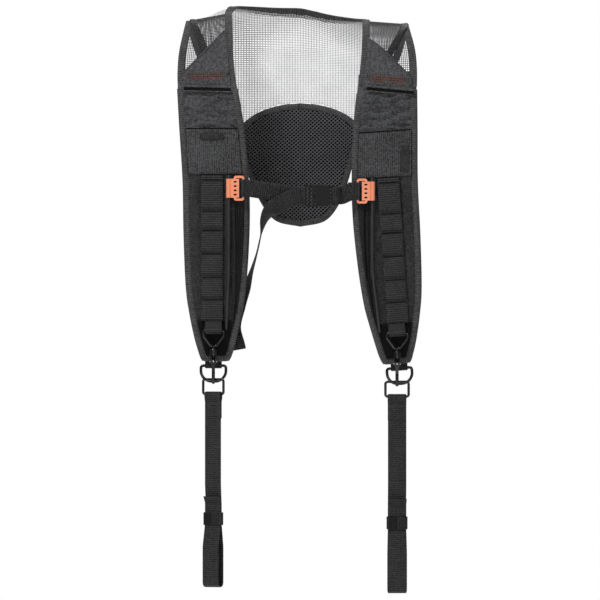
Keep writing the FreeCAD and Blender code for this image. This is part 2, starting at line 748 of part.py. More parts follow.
def build_slider(side, tag):
    """A moulded clip on the piping, a plate with four oval holes and a frame that holds the webbing bar."""
    x = side * RAIL_X
    z = SLIDER_Z[side]
    high = size("slider_high")
    inward = -side
    clip = boolean("Cut", "clip_tube_" + tag,
                   rod("clip_out_" + tag, (x, RAIL_Y, z), Vector(0, 0, 1), "Sizes.clip_outer",
                       "Sizes.slider_high"),
                   rod("clip_in_" + tag, (x, RAIL_Y, z), Vector(0, 0, 1), "Sizes.clip_inner", high + 2))
    slot = box("clip_slot_" + tag, (x - 1.1, RAIL_Y, z - high), (x + 1.1, RAIL_Y + 6, z + high))
    clip = boolean("Cut", "clip_" + tag, clip, slot)
    front = BAR_Y - size("slider_thick") / 2
    back = BAR_Y + size("slider_thick") / 2
    near = x + inward * 2.6
    far = x + inward * 14.5
    plate = box("plate_" + tag, (min(near, far), front, z - high / 2), (max(near, far), back, z + high / 2))
    parts = [clip, plate]
    frame = size("slider_frame") / 2
    for sign, end in ((1, "upper"), (-1, "lower")):
        arm = [(x + inward * 8.5, z + sign * (high / 2 - 2.0)), (x + inward * 8.5, z + sign * (frame - 1.6)),
               (x + inward * (SLIDER_BAR + 0.3), z + sign * (frame - 1.6)),
               (x + inward * (SLIDER_BAR + 0.3), z + sign * (frame - 4.6))]
        section = ribbon_wire(arm, [0, 2.0, 2.2, 0], 3.2, "XZ", front)
        parts.append(extrude(f"arm_{end}_{tag}", section, Vector(0, 1, 0), "Sizes.slider_thick"))
    bar = rod("webbing_bar_" + tag, (x + inward * SLIDER_BAR, BAR_Y, z), Vector(0, 0, 1), BAR_RADIUS,
              2 * frame - 4.0)
    parts.append(bar)
    solid = fuse_all("slider_solid_" + tag, parts)
    holes = []
    for row in range(4):
        level = z + (row - 1.5) * 6.0
        centre = x + inward * 9.0
        holes.append(extrude(f"oval_{row}_{tag}", oval_wire(centre, level, 4.4, 2.4, front - 1),
                             Vector(0, 1, 0), 6.0))
    keep("sternum_slider_" + tag, boolean("Cut", "sternum_slider_" + tag, solid,
                                          fuse_all("ovals_" + tag, holes)))


def oval_wire(x, z, long, wide, depth):
    """A slot with round ends, lying along X."""
    r = wide / 2
    reach = long / 2 - r
    a = Part.Arc(Vector(x + reach, depth, z - r), Vector(x + reach + r, depth, z),
                 Vector(x + reach, depth, z + r))
    b = Part.Arc(Vector(x - reach, depth, z + r), Vector(x - reach - r, depth, z),
                 Vector(x - reach, depth, z - r))
    top = Part.makeLine(Vector(x + reach, depth, z + r), Vector(x - reach, depth, z + r))
    low = Part.makeLine(Vector(x - reach, depth, z - r), Vector(x + reach, depth, z - r))
    return Part.Wire([a.toShape(), top, b.toShape(), low])


# ---------------------------------------------------------------- buckle and sternum webbing
BUCKLE = Vector(20.0, -76.0, -246.0)      # the mouth of the female housing
BUCKLE_FACE = size("buckle_deep") / 2


def build_female():
    """A flat housing, open toward the prongs, with side windows and a webbing bar."""
    x, y, z = BUCKLE
    long = size("female_long")
    half_high = size("buckle_high") / 2
    wall = size("wall")
    shell_long = long - 9.0
    outer = rounded([(x, z - half_high), (x + long, z - half_high + 2.5), (x + long, z + half_high - 2.5),
                     (x, z + half_high)], [1.5, 4.0, 4.0, 1.5], True)
    block = extrude("female_block", path_wire(outer, "XZ", y - BUCKLE_FACE), Vector(0, 1, 0),
                    "Sizes.buckle_deep")
    cavity = box("female_cavity", (x - 1, y - BUCKLE_FACE + wall, z - half_high + 2.4),
                 (x + shell_long - 2, y + BUCKLE_FACE - wall, z + half_high - 2.4))
    windows = box("female_windows", (x + 7.0, y - BUCKLE_FACE + wall, z - half_high - 2),
                  (x + 16.5, y + BUCKLE_FACE - wall, z + half_high + 2))
    slot = box("female_slot", (x + shell_long, y - BUCKLE_FACE - 1, z - half_high + 2.8),
               (x + shell_long + 2.6, y + BUCKLE_FACE + 1, z + half_high - 2.8))
    thin = []
    for sign, name in ((-1, "front"), (1, "back")):
        a = y + sign * 3.4
        b = y + sign * (BUCKLE_FACE + 1)
        thin.append(box("bar_relief_" + name, (x + shell_long, min(a, b), z - half_high + 2.8),
                        (x + long + 1, max(a, b), z + half_high - 2.8)))
    hollow = boolean("Cut", "female_hollow", block,
                     fuse_all("female_cutters", [cavity, windows, slot] + thin))
    edge = boolean("Cut", "female_bar_slot", hollow,
                   box("bar_gap", (x + shell_long - 0.01, y - 8, z - half_high + 2.8),
                       (x + shell_long + 3.6, y + 8, z + half_high - 2.8)))
    keep("buckle_female", edge)


PRONG_OFF = 8.4


def build_male():
    """A ladder of two bars and a guide tongue. The two prongs are nodes of their own."""
    x, y, z = BUCKLE
    long = size("male_long")
    half_high = size("buckle_high") / 2
    depth = 3.2
    frame = box("male_frame", (x - 0.6 - long, y - depth, z - half_high), (x - 0.6, y + depth, z + half_high))
    cutters = []
    for number, (a, b) in enumerate(((2.4, 5.0), (7.6, 10.0))):
        cutters.append(box(f"ladder_slot_{number}", (x - 0.6 - long + a, y - 8, z - half_high + 2.6),
                           (x - 0.6 - long + b, y + 8, z + half_high - 2.6)))
    ladder = boolean("Cut", "male_ladder", frame, fuse_all("ladder_slots", cutters))
    tongue = box("male_tongue", (x - 0.7, y - 1.6, z - 2.2), (x + 15.0, y + 1.6, z + 2.2))
    keep("buckle_male", fuse_all("buckle_male", [ladder, tongue]))
    for sign, name in ((1, "upper"), (-1, "lower")):
        root = z + sign * PRONG_OFF
        shape = [(x - 0.3, root - sign * 1.5), (x + 11.5, root + sign * 1.2), (x + 17.0, root + sign * 1.2),
                 (x + 15.6, root + sign * 4.4), (x + 7.6, root + sign * 6.3), (x + 7.4, root + sign * 4.2),
                 (x - 0.3, root + sign * 1.5)]
        prong = doc.addObject("PartDesign::Body", "buckle_prong_" + name)
        sketch = prong.newObject("Sketcher::SketchObject", "prong_sketch_" + name)
        plane = [f for f in prong.Origin.OriginFeatures if f.Role == "XZ_Plane"][0]
        sketch.AttachmentSupport = (plane, "")
        sketch.MapMode = "FlatFace"
        for a, b in zip(shape, shape[1:] + shape[:1]):
            sketch.addGeometry(Part.LineSegment(Vector(a[0], a[1], 0), Vector(b[0], b[1], 0)), False)
        pad = prong.newObject("PartDesign::Pad", "prong_pad_" + name)
        pad.Profile = sketch
        pad.Midplane = True
        pad.setExpression("Length", "Sizes.buckle_deep - 2 * Sizes.wall - 1.2")
        prong.Tip = pad
        keep("buckle_prong_" + name, prong, Placement(Vector(0, y, 0), Rotation()))


def flat_strip(name, start, end, half, depth):
    """A level-edged strip that drops along its run, seen from the front."""
    wire = Part.makePolygon([Vector(start[0], depth, start[1] - half), Vector(end[0], depth, end[1] - half),
                             Vector(end[0], depth, end[1] + half), Vector(start[0], depth, start[1] + half),
                             Vector(start[0], depth, start[1] - half)])
    return extrude(name, wire, Vector(0, 1, 0), "Sizes.sternum_thick")


def build_webbing():
    """The sternum webbing: sewn round each slider's bar, and on to the buckle."""
    thick = size("sternum_thick")
    half = size("sternum_wide") / 2
    x, y, z = BUCKLE
    loop = BAR_RADIUS + 0.2 + thick / 2
    for side, tag in ((-1, "left"), (1, "right")):
        bar_x = side * (RAIL_X - SLIDER_BAR)
        level = SLIDER_Z[side]
        inward = -side
        run = [(bar_x + inward * 9.0, BAR_Y + 0.95), (bar_x + inward * 4.5, BAR_Y + 0.95),
               (bar_x + inward * 1.0, BAR_Y + loop), (bar_x - inward * loop, BAR_Y + loop),
               (bar_x - inward * loop, BAR_Y - loop), (bar_x + inward * 1.0, BAR_Y - loop),
               (bar_x + inward * 4.5, BAR_Y - 0.95), (bar_x + inward * 9.0, BAR_Y - 0.95)]
        radii = [0, 2.5, 2.5, loop, loop, 2.5, 2.5, 0]
        section = ribbon_wire(run, radii, thick, "XY", level - half)
        ends = [extrude("sternum_loop_" + tag, section, Vector(0, 0, 1), "Sizes.sternum_wide")]
        plate_y = BAR_Y - 0.95 - thick / 2
        if side < 0:
            target = x - 0.6 - size("male_long") - 1.0
            ends.append(flat_strip("sternum_run_left", (bar_x + 8.9, level), (target, z), half, plate_y))
            wrap = [(target - 0.1, plate_y + thick / 2), (target + 1.0, plate_y + thick / 2),
                    (target + 4.9, y + 4.4), (target + 9.6, y + 4.4), (target + 9.6, y - 4.3),
                    (target - 6.0, y - 4.3)]
            ends.append(extrude("ladder_wrap", ribbon_wire(wrap, [0, 1.5, 1.5, 1.0, 1.0, 0], thick, "XY",
                                                           z - half),
                                Vector(0, 0, 1), "Sizes.sternum_wide"))
        else:
            slot_x = x + size("female_long") - 7.2
            beyond = x + size("female_long") + 0.6
            near = beyond + 4.4
            ends.append(flat_strip("sternum_run_right", (bar_x - 8.9, level), (near, z), half, plate_y))
            wrap = [(near + 0.1, plate_y + thick / 2), (near - 1.0, plate_y + thick / 2), (beyond, y - 5.0),
                    (slot_x, y - 5.0), (slot_x, y + 5.0), (beyond + 0.8, y + 5.0)]
            ends.append(extrude("bar_wrap", ribbon_wire(wrap, [0, 1.2, 1.2, 1.5, 1.5, 0], thick, "XY",
                                                        z - half),
                                Vector(0, 0, 1), "Sizes.sternum_wide"))
        keep("sternum_webbing_" + tag, fuse_all("sternum_webbing_" + tag, ends))


# the free end of the webbing: middle of the strip, and the angle of its width about the run
TAIL = [
    # x, y, z, width direction
    (0.6, -82.6, -246.0, (0.0, 0.0, 1.0)),
    (-14.0, -84.0, -250.0, (0.1, 0.0, 1.0)),
    (-36.0, -83.0, -262.0, (-0.45, -0.3, 0.9)),
    (-49.0, -76.0, -277.0, (-0.45, -1.0, 0.4)),
    (-55.0, -69.0, -300.0, (0.0, -1.0, 0.1)),
    (-61.5, -60.0, -328.0, (0.05, -1.0, 0.0)),
    (-68.5, -50.0, -352.0, (0.2, -1.0, 0.0)),
    (-76.0, -45.0, -376.0, (0.55, -0.9, 0.0)),
    (-87.0, -42.5, -402.0, (0.85, -0.55, 0.0)),
    (-93.0, -43.0, -432.0, (0.8, -0.55, 0.1)),
    (-88.0, -44.0, -462.0, (1.0, 0.0, 0.2)),
]


def build_tail():
    """The free tail hangs from the ladder, turns on edge and hangs behind the left pad."""
    thick = size("sternum_thick")
    half = size("sternum_wide") / 2 - 0.4
    sections = []
    for i, (x, y, z, across) in enumerate(TAIL):
        before = Vector(*TAIL[max(i - 1, 0)][:3])
        after = Vector(*TAIL[min(i + 1, len(TAIL) - 1)][:3])
        along = (after - before).normalize()
        wide = Vector(*across)
        wide = (wide - along * wide.dot(along)).normalize()
        normal = along.cross(wide).normalize()
        middle = Vector(x, y, z)
        reach = half if i < len(TAIL) - 2 else half * 0.5
        corners = [middle + wide * (reach * a) + normal * (thick / 2 * b)
                   for a, b in ((-1, -1), (1, -1), (1, 1), (-1, 1), (-1, -1))]
        sections.append(outline(f"tail_section_{i}", Part.makePolygon(corners)))
    tail = doc.addObject("Part::Loft", "sternum_tail")
    tail.Sections = sections
    tail.Solid = True
    tail.Ruled = True
    keep("sternum_tail", tail)


# ---------------------------------------------------------------- hook chain
def chain_top(side):
    """The middle of the eye's bar."""
    if side < 0:
        return Vector(-CHAIN_X, CHAIN_Y, BAR_Z)
    return side_placement(1).multVec(Vector(CHAIN_X, CHAIN_Y, BAR_Z))


TWIST = {-1: -30.0, 1: 8.0}
RING_TOP = -68.1       # the strap ring's upper bar, below the eye's bar
RING_LOW = -88.7       # its lower bar


PIN_AT = (0, -6.6, -43.0)     # the gate turns on this pin
CHEEK_THICK = 1.9
BORE_LONG = 14.0


def build_hook(side, tag):
    """Eye, swivel body, sprung gate and its pin, modelled about the middle of the eye's bar."""
    place = Placement(chain_top(side), Rotation())
    wire = size("wire_radius")
    eye = [(-14.2, 0), (14.2, 0), (14.2, -7.0), (3.4, -21.5), (-3.4, -21.5), (-14.2, -7.0)]
    loop = wire_rod("eye_loop_" + tag, eye, [2.4, 2.4, 4.0, 3.0, 3.0, 4.0], "XZ", wire, 0, True)
    post = rod("eye_post_" + tag, (0, 0, -26.5), Vector(0, 0, 1), 2.5, 9.4)
    head = rod("eye_head_" + tag, (0, 0, -31.0), Vector(0, 0, 1), 3.6, 1.8)
    keep("hook_eye_" + tag, fuse_all("hook_eye_" + tag, [loop, post, head]), place)

    body = doc.addObject("PartDesign::Body", "collar_" + tag)
    sketch = body.newObject("Sketcher::SketchObject", "collar_sketch_" + tag)
    plane = [f for f in body.Origin.OriginFeatures if f.Role == "XZ_Plane"][0]
    sketch.AttachmentSupport = (plane, "")
    sketch.MapMode = "FlatFace"
    profile = [(2.56, -25.6), (4.6, -25.6), (5.3, -26.6), (5.3, -35.2), (4.2, -37.0), (0, -37.0), (0, -33.0),
               (3.9, -33.0), (3.9, -29.4), (2.56, -29.4)]
    for a, b in zip(profile, profile[1:] + profile[:1]):
        sketch.addGeometry(Part.LineSegment(Vector(a[0], a[1], 0), Vector(b[0], b[1], 0)), False)
    turned = body.newObject("PartDesign::Revolution", "collar_turned_" + tag)
    turned.Profile = sketch
    turned.ReferenceAxis = (sketch, ["V_Axis"])
    turned.Angle = 360.0
    body.Tip = turned
    radius = size("hook_radius")
    bend = [(0.0, -35.5), (0.0, -38.5), (7.5, -46.0), (7.5, -72.5), (-7.5, -72.5), (-7.5, -59.4)]
    spine = wire_rod("hook_spine_" + tag, bend, [0, 5.0, 5.0, 7.5, 7.5, 0], "YZ", radius)
    gate_x = size("gate_wide") / 2 + 0.2
    cheeks = []
    for sign, name in ((-1, "near"), (1, "far")):
        a = sign * gate_x
        b = sign * (gate_x + CHEEK_THICK)
        cheek = rounded([(2.0, -35.4), (2.0, -39.5), (-4.2, -46.4), (-8.7, -46.4), (-8.7, -40.0),
                         (-4.6, -35.4)],
                        [0.6, 1.0, 1.5, 2.2, 2.2, 0.6], True)
        cheeks.append(extrude(f"cheek_{name}_{tag}", path_wire(cheek, "YZ", min(a, b)), Vector(1, 0, 0),
                              CHEEK_THICK))
    bore = rod("pin_bore_" + tag, PIN_AT, Vector(1, 0, 0), "Sizes.pin_radius + 0.03", BORE_LONG)
    whole = fuse_all("hook_whole_" + tag, [body, spine] + cheeks)
    keep("hook_body_" + tag, boolean("Cut", "hook_body_" + tag, whole, bore), place)

    pin = rod("gate_pin_" + tag, PIN_AT, Vector(1, 0, 0), "Sizes.pin_radius", "Sizes.pin_long")
    keep("gate_pin_" + tag, pin, place.multiply(pin.Placement))

    lever = rounded([(-8.8, -40.6), (-4.7, -40.6), (-4.7, -59.6), (-3.3, -64.8), (-5.0, -65.0), (-5.1, -59.0),
                     (-8.6, -57.6)], [1.8, 1.8, 3.0, 0.3, 0.3, 0.3, 0.5], True)
    blade = extrude("gate_blade_" + tag, path_wire(lever, "YZ", -size("gate_wide") / 2), Vector(1, 0, 0),
                    "Sizes.gate_wide")
    gate_bore = rod("gate_bore_" + tag, PIN_AT, Vector(1, 0, 0), "Sizes.pin_radius + 0.05", BORE_LONG)
    room = box("spring_room_" + tag, (-0.9, -12.0, -46.2), (0.9, 0.0, -38.0))
    gate = boolean("Cut", "gate_bored_" + tag, blade, gate_bore)
    keep("hook_gate_" + tag, boolean("Cut", "hook_gate_" + tag, gate, room), place)

    coil = boolean("Cut", "spring_coil_" + tag,
                   rod("spring_out_" + tag, PIN_AT, Vector(1, 0, 0), 1.9, 1.5),
                   rod("spring_in_" + tag, PIN_AT, Vector(1, 0, 0), "Sizes.pin_radius + 0.1", 3.0))
    leg = box("spring_leg_" + tag, (-0.4, -6.6, -41.9), (0.4, -3.0, -41.2))
    keep("gate_spring_" + tag, fuse_all("gate_spring_" + tag, [coil, leg]), place)


def build_strap_ring(side, tag):
    """The rectangular ring in the hook, turned with the strap below it."""
    place = Placement(chain_top(side), Rotation(Vector(0, 0, 1), TWIST[side]))
    wire = size("wire_radius")
    half = 16.4
    ring = [(-half, RING_TOP), (half, RING_TOP), (half, RING_LOW), (-half, RING_LOW)]
    keep("strap_ring_" + tag, wire_rod("strap_ring_" + tag, ring, 3.2, "XZ", wire, 0, True), place)


STRAP_SPLIT = -215.0    # below this the strap opens into the belt loop
FLAP_END = -235.0
KEEPER_TOP = -254.0
LOOP_BOTTOM = -359.0
LOOP_FRONT = -7.6
LOOP_BACK = 5.7


def build_lower_strap(side, tag):
    """One length of webbing: over the ring's lower bar, down, and back up as a belt loop."""
    place = Placement(chain_top(side), Rotation(Vector(0, 0, 1), TWIST[side]))
    thick = size("strap_thick")
    loop = size("wire_radius") + 0.1 + thick / 2
    low = RING_LOW
    layer = thick / 2 + 0.1
    longer = 0.0 if side < 0 else -5.0
    bottom = LOOP_BOTTOM + longer + thick / 2
    points = [(layer, low - 34.0), (layer, low - 11.0), (loop, low - 4.5), (loop, low + loop),
              (-loop, low + loop),
              (-loop, low - 4.5), (-layer, low - 11.0), (-layer, STRAP_SPLIT), (layer, KEEPER_TOP + 10),
              (layer, KEEPER_TOP - 16 + longer), (LOOP_BACK, LOOP_BOTTOM + 57 + longer), (LOOP_BACK, bottom),
              (LOOP_FRONT, bottom), (LOOP_FRONT, LOOP_BOTTOM + 57 + longer),
              (-layer, KEEPER_TOP - 16 + longer), (-layer, FLAP_END - 6.0), (-layer - 4.6, FLAP_END + 3.0)]
    radii = [0, 4.0, 4.0, loop, loop, 4.0, 4.0, 18.0, 18.0, 30.0, 30.0, 6.0, 6.0, 30.0, 30.0, 6.0, 0]
    section = ribbon_wire(points, radii, thick, "YZ", -size("strap_wide") / 2)
    keep("lower_strap_" + tag, extrude("lower_strap_" + tag, section, Vector(1, 0, 0), "Sizes.strap_wide"),
         place)

    outer_x = size("strap_wide") + 2 * size("keeper_thick") + 0.8
    outer_y = 2 * thick + 0.2 + 2 * size("keeper_thick") + 1.4
    inner = rectangle(outer_x - 2 * size("keeper_thick"), outer_y - 2 * size("keeper_thick"))
    keeper = body_block("loop_keeper_" + tag, "XY_Plane", [rectangle(outer_x, outer_y), inner],
                        "Sizes.keeper_high")
    level = KEEPER_TOP - size("keeper_high") / 2
    keep("loop_keeper_" + tag, keeper, place.multiply(Placement(Vector(0, 0, level + longer / 2),
                                                                Rotation())))


# ---------------------------------------------------------------- build, check, export
for SIDE, TAG in ((-1, "left"), (1, "right")):
    build_yoke(SIDE, TAG)
    build_pad(SIDE, TAG)
    build_sleeve(SIDE, TAG)
    build_daisy(SIDE, TAG)
    build_end_ring(SIDE, TAG)
    build_rail(SIDE, TAG)
    build_slider(SIDE, TAG)
    build_hook(SIDE, TAG)
    build_strap_ring(SIDE, TAG)
    build_lower_strap(SIDE, TAG)
build_back_mesh()
build_back_pad()
build_female()
build_male()
build_webbing()
build_tail()
doc.recompute()

problems = [o.Name for o in doc.Objects if "Invalid" in o.State or "Error" in o.State]
for node, obj in nodes.items():
    if obj.Shape.isNull() or not obj.Shape.isValid() or not obj.Shape.Solids:
        problems.append(node)
if problems:
    raise RuntimeError(f"not built: {problems}")

for node, obj in nodes.items():
    obj.Shape.exportStep(f"parts/{node}.step")
    solids = len(obj.Shape.Solids)
    print(f"{node}: {solids} solid(s), {obj.Shape.Volume / 1000:.2f} cm3")
print(len(nodes), "nodes")
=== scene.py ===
"""Looks of the padded load harness: cloth, mesh, tape, webbing, stitches and hardware around the CAD frame.

Lengths are in millimetres until a mesh is made, in the frame's axes: +X viewer's right, -Y front, +Z up.
"""
import math

import bmesh
import bpy
from mathutils import Matrix, Vector, noise


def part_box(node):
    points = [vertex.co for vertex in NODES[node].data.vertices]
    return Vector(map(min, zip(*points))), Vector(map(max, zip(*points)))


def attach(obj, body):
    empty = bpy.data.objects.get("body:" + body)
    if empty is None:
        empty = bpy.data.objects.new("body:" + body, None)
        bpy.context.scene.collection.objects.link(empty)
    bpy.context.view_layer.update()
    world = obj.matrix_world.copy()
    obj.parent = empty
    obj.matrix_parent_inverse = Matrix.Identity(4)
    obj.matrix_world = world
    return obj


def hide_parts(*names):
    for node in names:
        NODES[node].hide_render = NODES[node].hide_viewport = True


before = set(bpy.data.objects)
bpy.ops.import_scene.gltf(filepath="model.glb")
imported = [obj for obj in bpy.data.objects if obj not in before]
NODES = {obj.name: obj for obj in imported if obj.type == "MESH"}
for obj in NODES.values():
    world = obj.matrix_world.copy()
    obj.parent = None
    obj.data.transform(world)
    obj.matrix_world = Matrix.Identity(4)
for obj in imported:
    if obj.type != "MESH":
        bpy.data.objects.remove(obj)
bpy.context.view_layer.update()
MM = 0.001
SIDES = ((-1, "left"), (1, "right"))
UP = Vector((0, 0, 1))
FRONT = Vector((0, -1, 0))
ACROSS = Vector((1, 0, 0))


def box_mm(node):
    """Lowest and highest corner of a CAD node, in millimetres."""
    low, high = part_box(node)
    return low * 1000, high * 1000


# ---------------------------------------------------------------- sizes taken from the frame
FACE_Y = box_mm("pad_face_left")[0].y
LINER_Y = box_mm("pad_liner_left")[1].y
PAD_TOP = box_mm("pad_face_left")[1].z
PAD_BOTTOM = box_mm("pad_face_left")[0].z
SLEEVE_LOW, SLEEVE_HIGH = box_mm("chest_sleeve_left")
BACK_LOW, BACK_HIGH = box_mm("back_pad_foam")
STRAP_WIDE = 26.0
STERNUM_WIDE = 24.4
DAISY_WIDE = 31.0

# the worn form: panels stand DEPTH from the shoulder line and arch over it
DEPTH = 52.0
DROP = 40.0
RISE = 69.0
FALL = 0.19
LEAN = math.radians(3.8)
LEAN_PIVOT = (120.0, -237.0)
RIGHT_DROP = 4.0
SHOULDER_IN = {-1: 0.0, 1: 9.0}
SLANT_DROP = {-1: 0.0, 1: 6.5}

YOKE_OUTER = [(161.0, -2.0), (170.0, -43.0), (172.4, -72.0), (172.0, -96.0)]
YOKE_INNER = [(96.0, 11.0), (94.5, -43.0), (91.4, -78.0), (88.6, -96.0)]
PAD_OUTER = [(172.0, -96.0), (169.0, -150.0), (164.4, -225.0), (163.0, -300.0), (160.0, -372.0),
             (155.0, -410.0), (147.0, -448.0), (138.0, -477.0)]
PAD_INNER = [(88.6, -96.0), (80.0, -150.0), (73.5, -221.0), (71.8, -275.0), (74.2, -337.0),
             (79.0, -390.0), (84.7, -420.0), (94.9, -463.4), (99.7, -477.0)]
BACK_OUTER = [(161.0, -2.0), (146.0, -50.0), (118.0, -105.0), (88.0, -150.0)]
BACK_TOP = [(0.0, -116.0), (30.0, -119.4), (60.0, -129.6), (88.0, -150.0)]
BACK_SIDE = [(88.0, -150.0), (76.0, -190.0), (66.0, -225.0), (54.0, -256.0), (34.0, -280.0), (0.0, -288.0)]
NECK_HALF = 96.0
NECK_BACK = 30.0


def lean_matrix(side):
    """The right front panel is turned a little outward and hangs lower than the left one."""
    if side < 0:
        return Matrix.Identity(4)
    pivot = Vector((LEAN_PIVOT[0], 0, LEAN_PIVOT[1]))
    turn = Matrix.Rotation(-LEAN, 4, "Y")
    return Matrix.Translation(pivot + Vector((0, 0, -RIGHT_DROP))) @ turn @ Matrix.Translation(-pivot)


# ---------------------------------------------------------------- curves
def catmull(points, steps=8):
    """A smooth run through given points of any dimension."""
    pts = [Vector(p) for p in points]
    pts = [pts[0] * 2 - pts[1]] + pts + [pts[-1] * 2 - pts[-2]]
    out = []
    for i in range(1, len(pts) - 2):
        a, b, c, d = pts[i - 1:i + 3]
        for k in range(steps):
            t = k / steps
            out.append(0.5 * (2 * b + (c - a) * t + (2 * a - 5 * b + 4 * c - d) * t * t
                              + (3 * b - a - 3 * c + d) * t ** 3))
    out.append(pts[-2])
    return out


def x_at(curve, height):
    """Distance from the middle plane where an outline passes a height."""
    for a, b in zip(curve, curve[1:]):
        low, high = sorted((a[1], b[1]))
        if low <= height <= high and high > low:
            return a[0] + (b[0] - a[0]) * (height - a[1]) / (b[1] - a[1])
    ends = sorted((curve[0], curve[-1]), key=lambda p: abs(p[1] - height))
    return ends[0][0]


def resample(points, step):
    """Points evenly spaced along a polyline, both ends kept."""
    lengths = [0.0]
    for a, b in zip(points, points[1:]):
        lengths.append(lengths[-1] + (b - a).length)
    count = max(2, round(lengths[-1] / step) + 1)
    out = []
    i = 0
    for k in range(count):
        target = lengths[-1] * k / (count - 1)
        while i < len(points) - 2 and lengths[i + 1] < target:
            i += 1
        span = lengths[i + 1] - lengths[i]
        t = 0.0 if span < 1e-9 else (target - lengths[i]) / span
        out.append(points[i].lerp(points[i + 1], min(1.0, max(0.0, t))))
    return out


def fillet(points, radii, turn_step=12.0):
    """Straight runs and arcs through a polyline in space."""
    pts = [Vector(p) for p in points]
    out = [pts[0]]
    for i in range(1, len(pts) - 1):
        radius = radii if isinstance(radii, (int, float)) else radii[i]
        u = (pts[i - 1] - pts[i]).normalized()
        v = (pts[i + 1] - pts[i]).normalized()
        half = math.acos(max(-1.0, min(1.0, u.dot(v)))) / 2
        if half > math.radians(89.5) or radius <= 0:
            out.append(pts[i])
            continue
        centre = pts[i] + (u + v).normalized() * (radius / math.sin(half))
        start = pts[i] + u * (radius / math.tan(half)) - centre
        end = pts[i] + v * (radius / math.tan(half)) - centre
        sweep = math.pi - 2 * half
        count = max(2, math.ceil(math.degrees(sweep) / turn_step))
        for k in range(count + 1):
            t = k / count
            arm = start * math.sin((1 - t) * sweep) + end * math.sin(t * sweep)
            out.append(centre + arm / math.sin(sweep))
    out.append(pts[-1])
    return [p for n, p in enumerate(out) if n == 0 or (p - out[n - 1]).length > 1e-4]


OUTER = catmull(PAD_OUTER)
INNER = catmull(PAD_INNER)
Y_OUTER = catmull(YOKE_OUTER)
Y_INNER = catmull(YOKE_INNER)
B_OUTER = catmull(BACK_OUTER)
B_TOP = catmull(BACK_TOP)
B_SIDE = catmull(BACK_SIDE)


def blend_step(value, low, high):
    t = min(1.0, max(0.0, (value - low) / (high - low)))
    return t * t * (3 - 2 * t)


def mirrored(p, side):
    """A point of the right half, on the side asked for."""
    return Vector((side * p.x, p.y, p.z))


def smoothed(points, times):
    for _ in range(times):
        inner = [(a + b * 2 + c) / 4 for a, b, c in zip(points, points[1:], points[2:])]
        points = [points[0]] + inner + [points[-1]]
    return points


def hump(share, power=1.0):
    """From 0 at either end to 1 in the middle."""
    return math.sin(math.pi * min(1.0, max(0.0, share))) ** power


# ---------------------------------------------------------------- meshes
def new_piece(name, verts, faces, material, body="harness", uvs=None, matrix=None):
    """A mesh piece from millimetre points, riding on a body."""
    mesh = bpy.data.meshes.new(name)
    if matrix is not None:
        verts = [matrix @ Vector(v) for v in verts]
    mesh.from_pydata([tuple(Vector(v) * MM) for v in verts], [], faces)
    if uvs is not None:
        layer = mesh.uv_layers.new(name="cloth")
        for loop in mesh.loops:
            layer.data[loop.index].uv = uvs[loop.vertex_index]
    for polygon in mesh.polygons:
        polygon.use_smooth = True
    mesh.validate()
    obj = bpy.data.objects.new(name, mesh)
    bpy.context.scene.collection.objects.link(obj)
    mesh.materials.append(material)
    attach(obj, body)
    return obj


class Pile:
    """Gathers many small shapes into one mesh."""

    def __init__(self):
        self.verts = []
        self.faces = []
        self.uvs = []

    def rings(self, rings, closed=False, uvs=None):
        """Joins rings of equal count into a tube."""
        start = len(self.verts)
        n = len(rings[0])
        for ring in rings:
            self.verts.extend(ring)
        if uvs is not None:
            self.uvs.extend(uvs)
        count = len(rings)
        for i in range(count if closed else count - 1):
            j = (i + 1) % count
            for k in range(n):
                m = (k + 1) % n
                self.faces.append((start + i * n + k, start + i * n + m, start + j * n + m, start + j * n + k))
        if not closed:
            self.faces.append(tuple(start + k for k in range(n))[::-1])
            self.faces.append(tuple(start + (count - 1) * n + k for k in range(n)))

    def piece(self, name, mat, *replaced, body="harness", matrix=None, shape=None):
        """Makes the mesh, bends it if shape is given, and hides the CAD nodes it stands for."""
        obj = new_piece(name, self.verts, self.faces, mat, body, self.uvs or None, matrix)
        if shape is not None:
            shape(obj)
        return dress(obj, mat, *replaced)


def tangents(points, closed=False):
    out = []
    n = len(points)
    for i in range(n):
        a = points[(i - 1) % n] if closed or i > 0 else points[i]
        b = points[(i + 1) % n] if closed or i < n - 1 else points[i]
        out.append((b - a).normalized())
    return out


def swept(points, ring_at):
    """Rings along a path with their UVs. ring_at gives the ring and its U values at a number."""
    rings = []
    uvs = []
    length = 0.0
    for i, p in enumerate(points):
        if i:
            length += (p - points[i - 1]).length
        ring, us = ring_at(i)
        rings.append(ring)
        uvs.extend((u * MM, length * MM) for u in us)
    return rings, uvs


def tube(pile, points, radius, sides=8, closed=False, hint=UP):
    """A round rod along a path. The radius may be one number or one for each point."""
    along = tangents(points, closed)
    side = along[0].cross(hint)
    if side.length < 0.1:
        side = along[0].cross(Vector((1, 0.3, 0)))
    side.normalize()
    rings = []
    for i, (p, t) in enumerate(zip(points, along)):
        side = (side - t * side.dot(t)).normalized()
        other = t.cross(side)
        r = radius if isinstance(radius, (int, float)) else radius[i]
        rings.append([p + (side * math.cos(a) + other * math.sin(a)) * r
                      for a in (2 * math.pi * k / sides for k in range(sides))])
    pile.rings(rings, closed=closed)


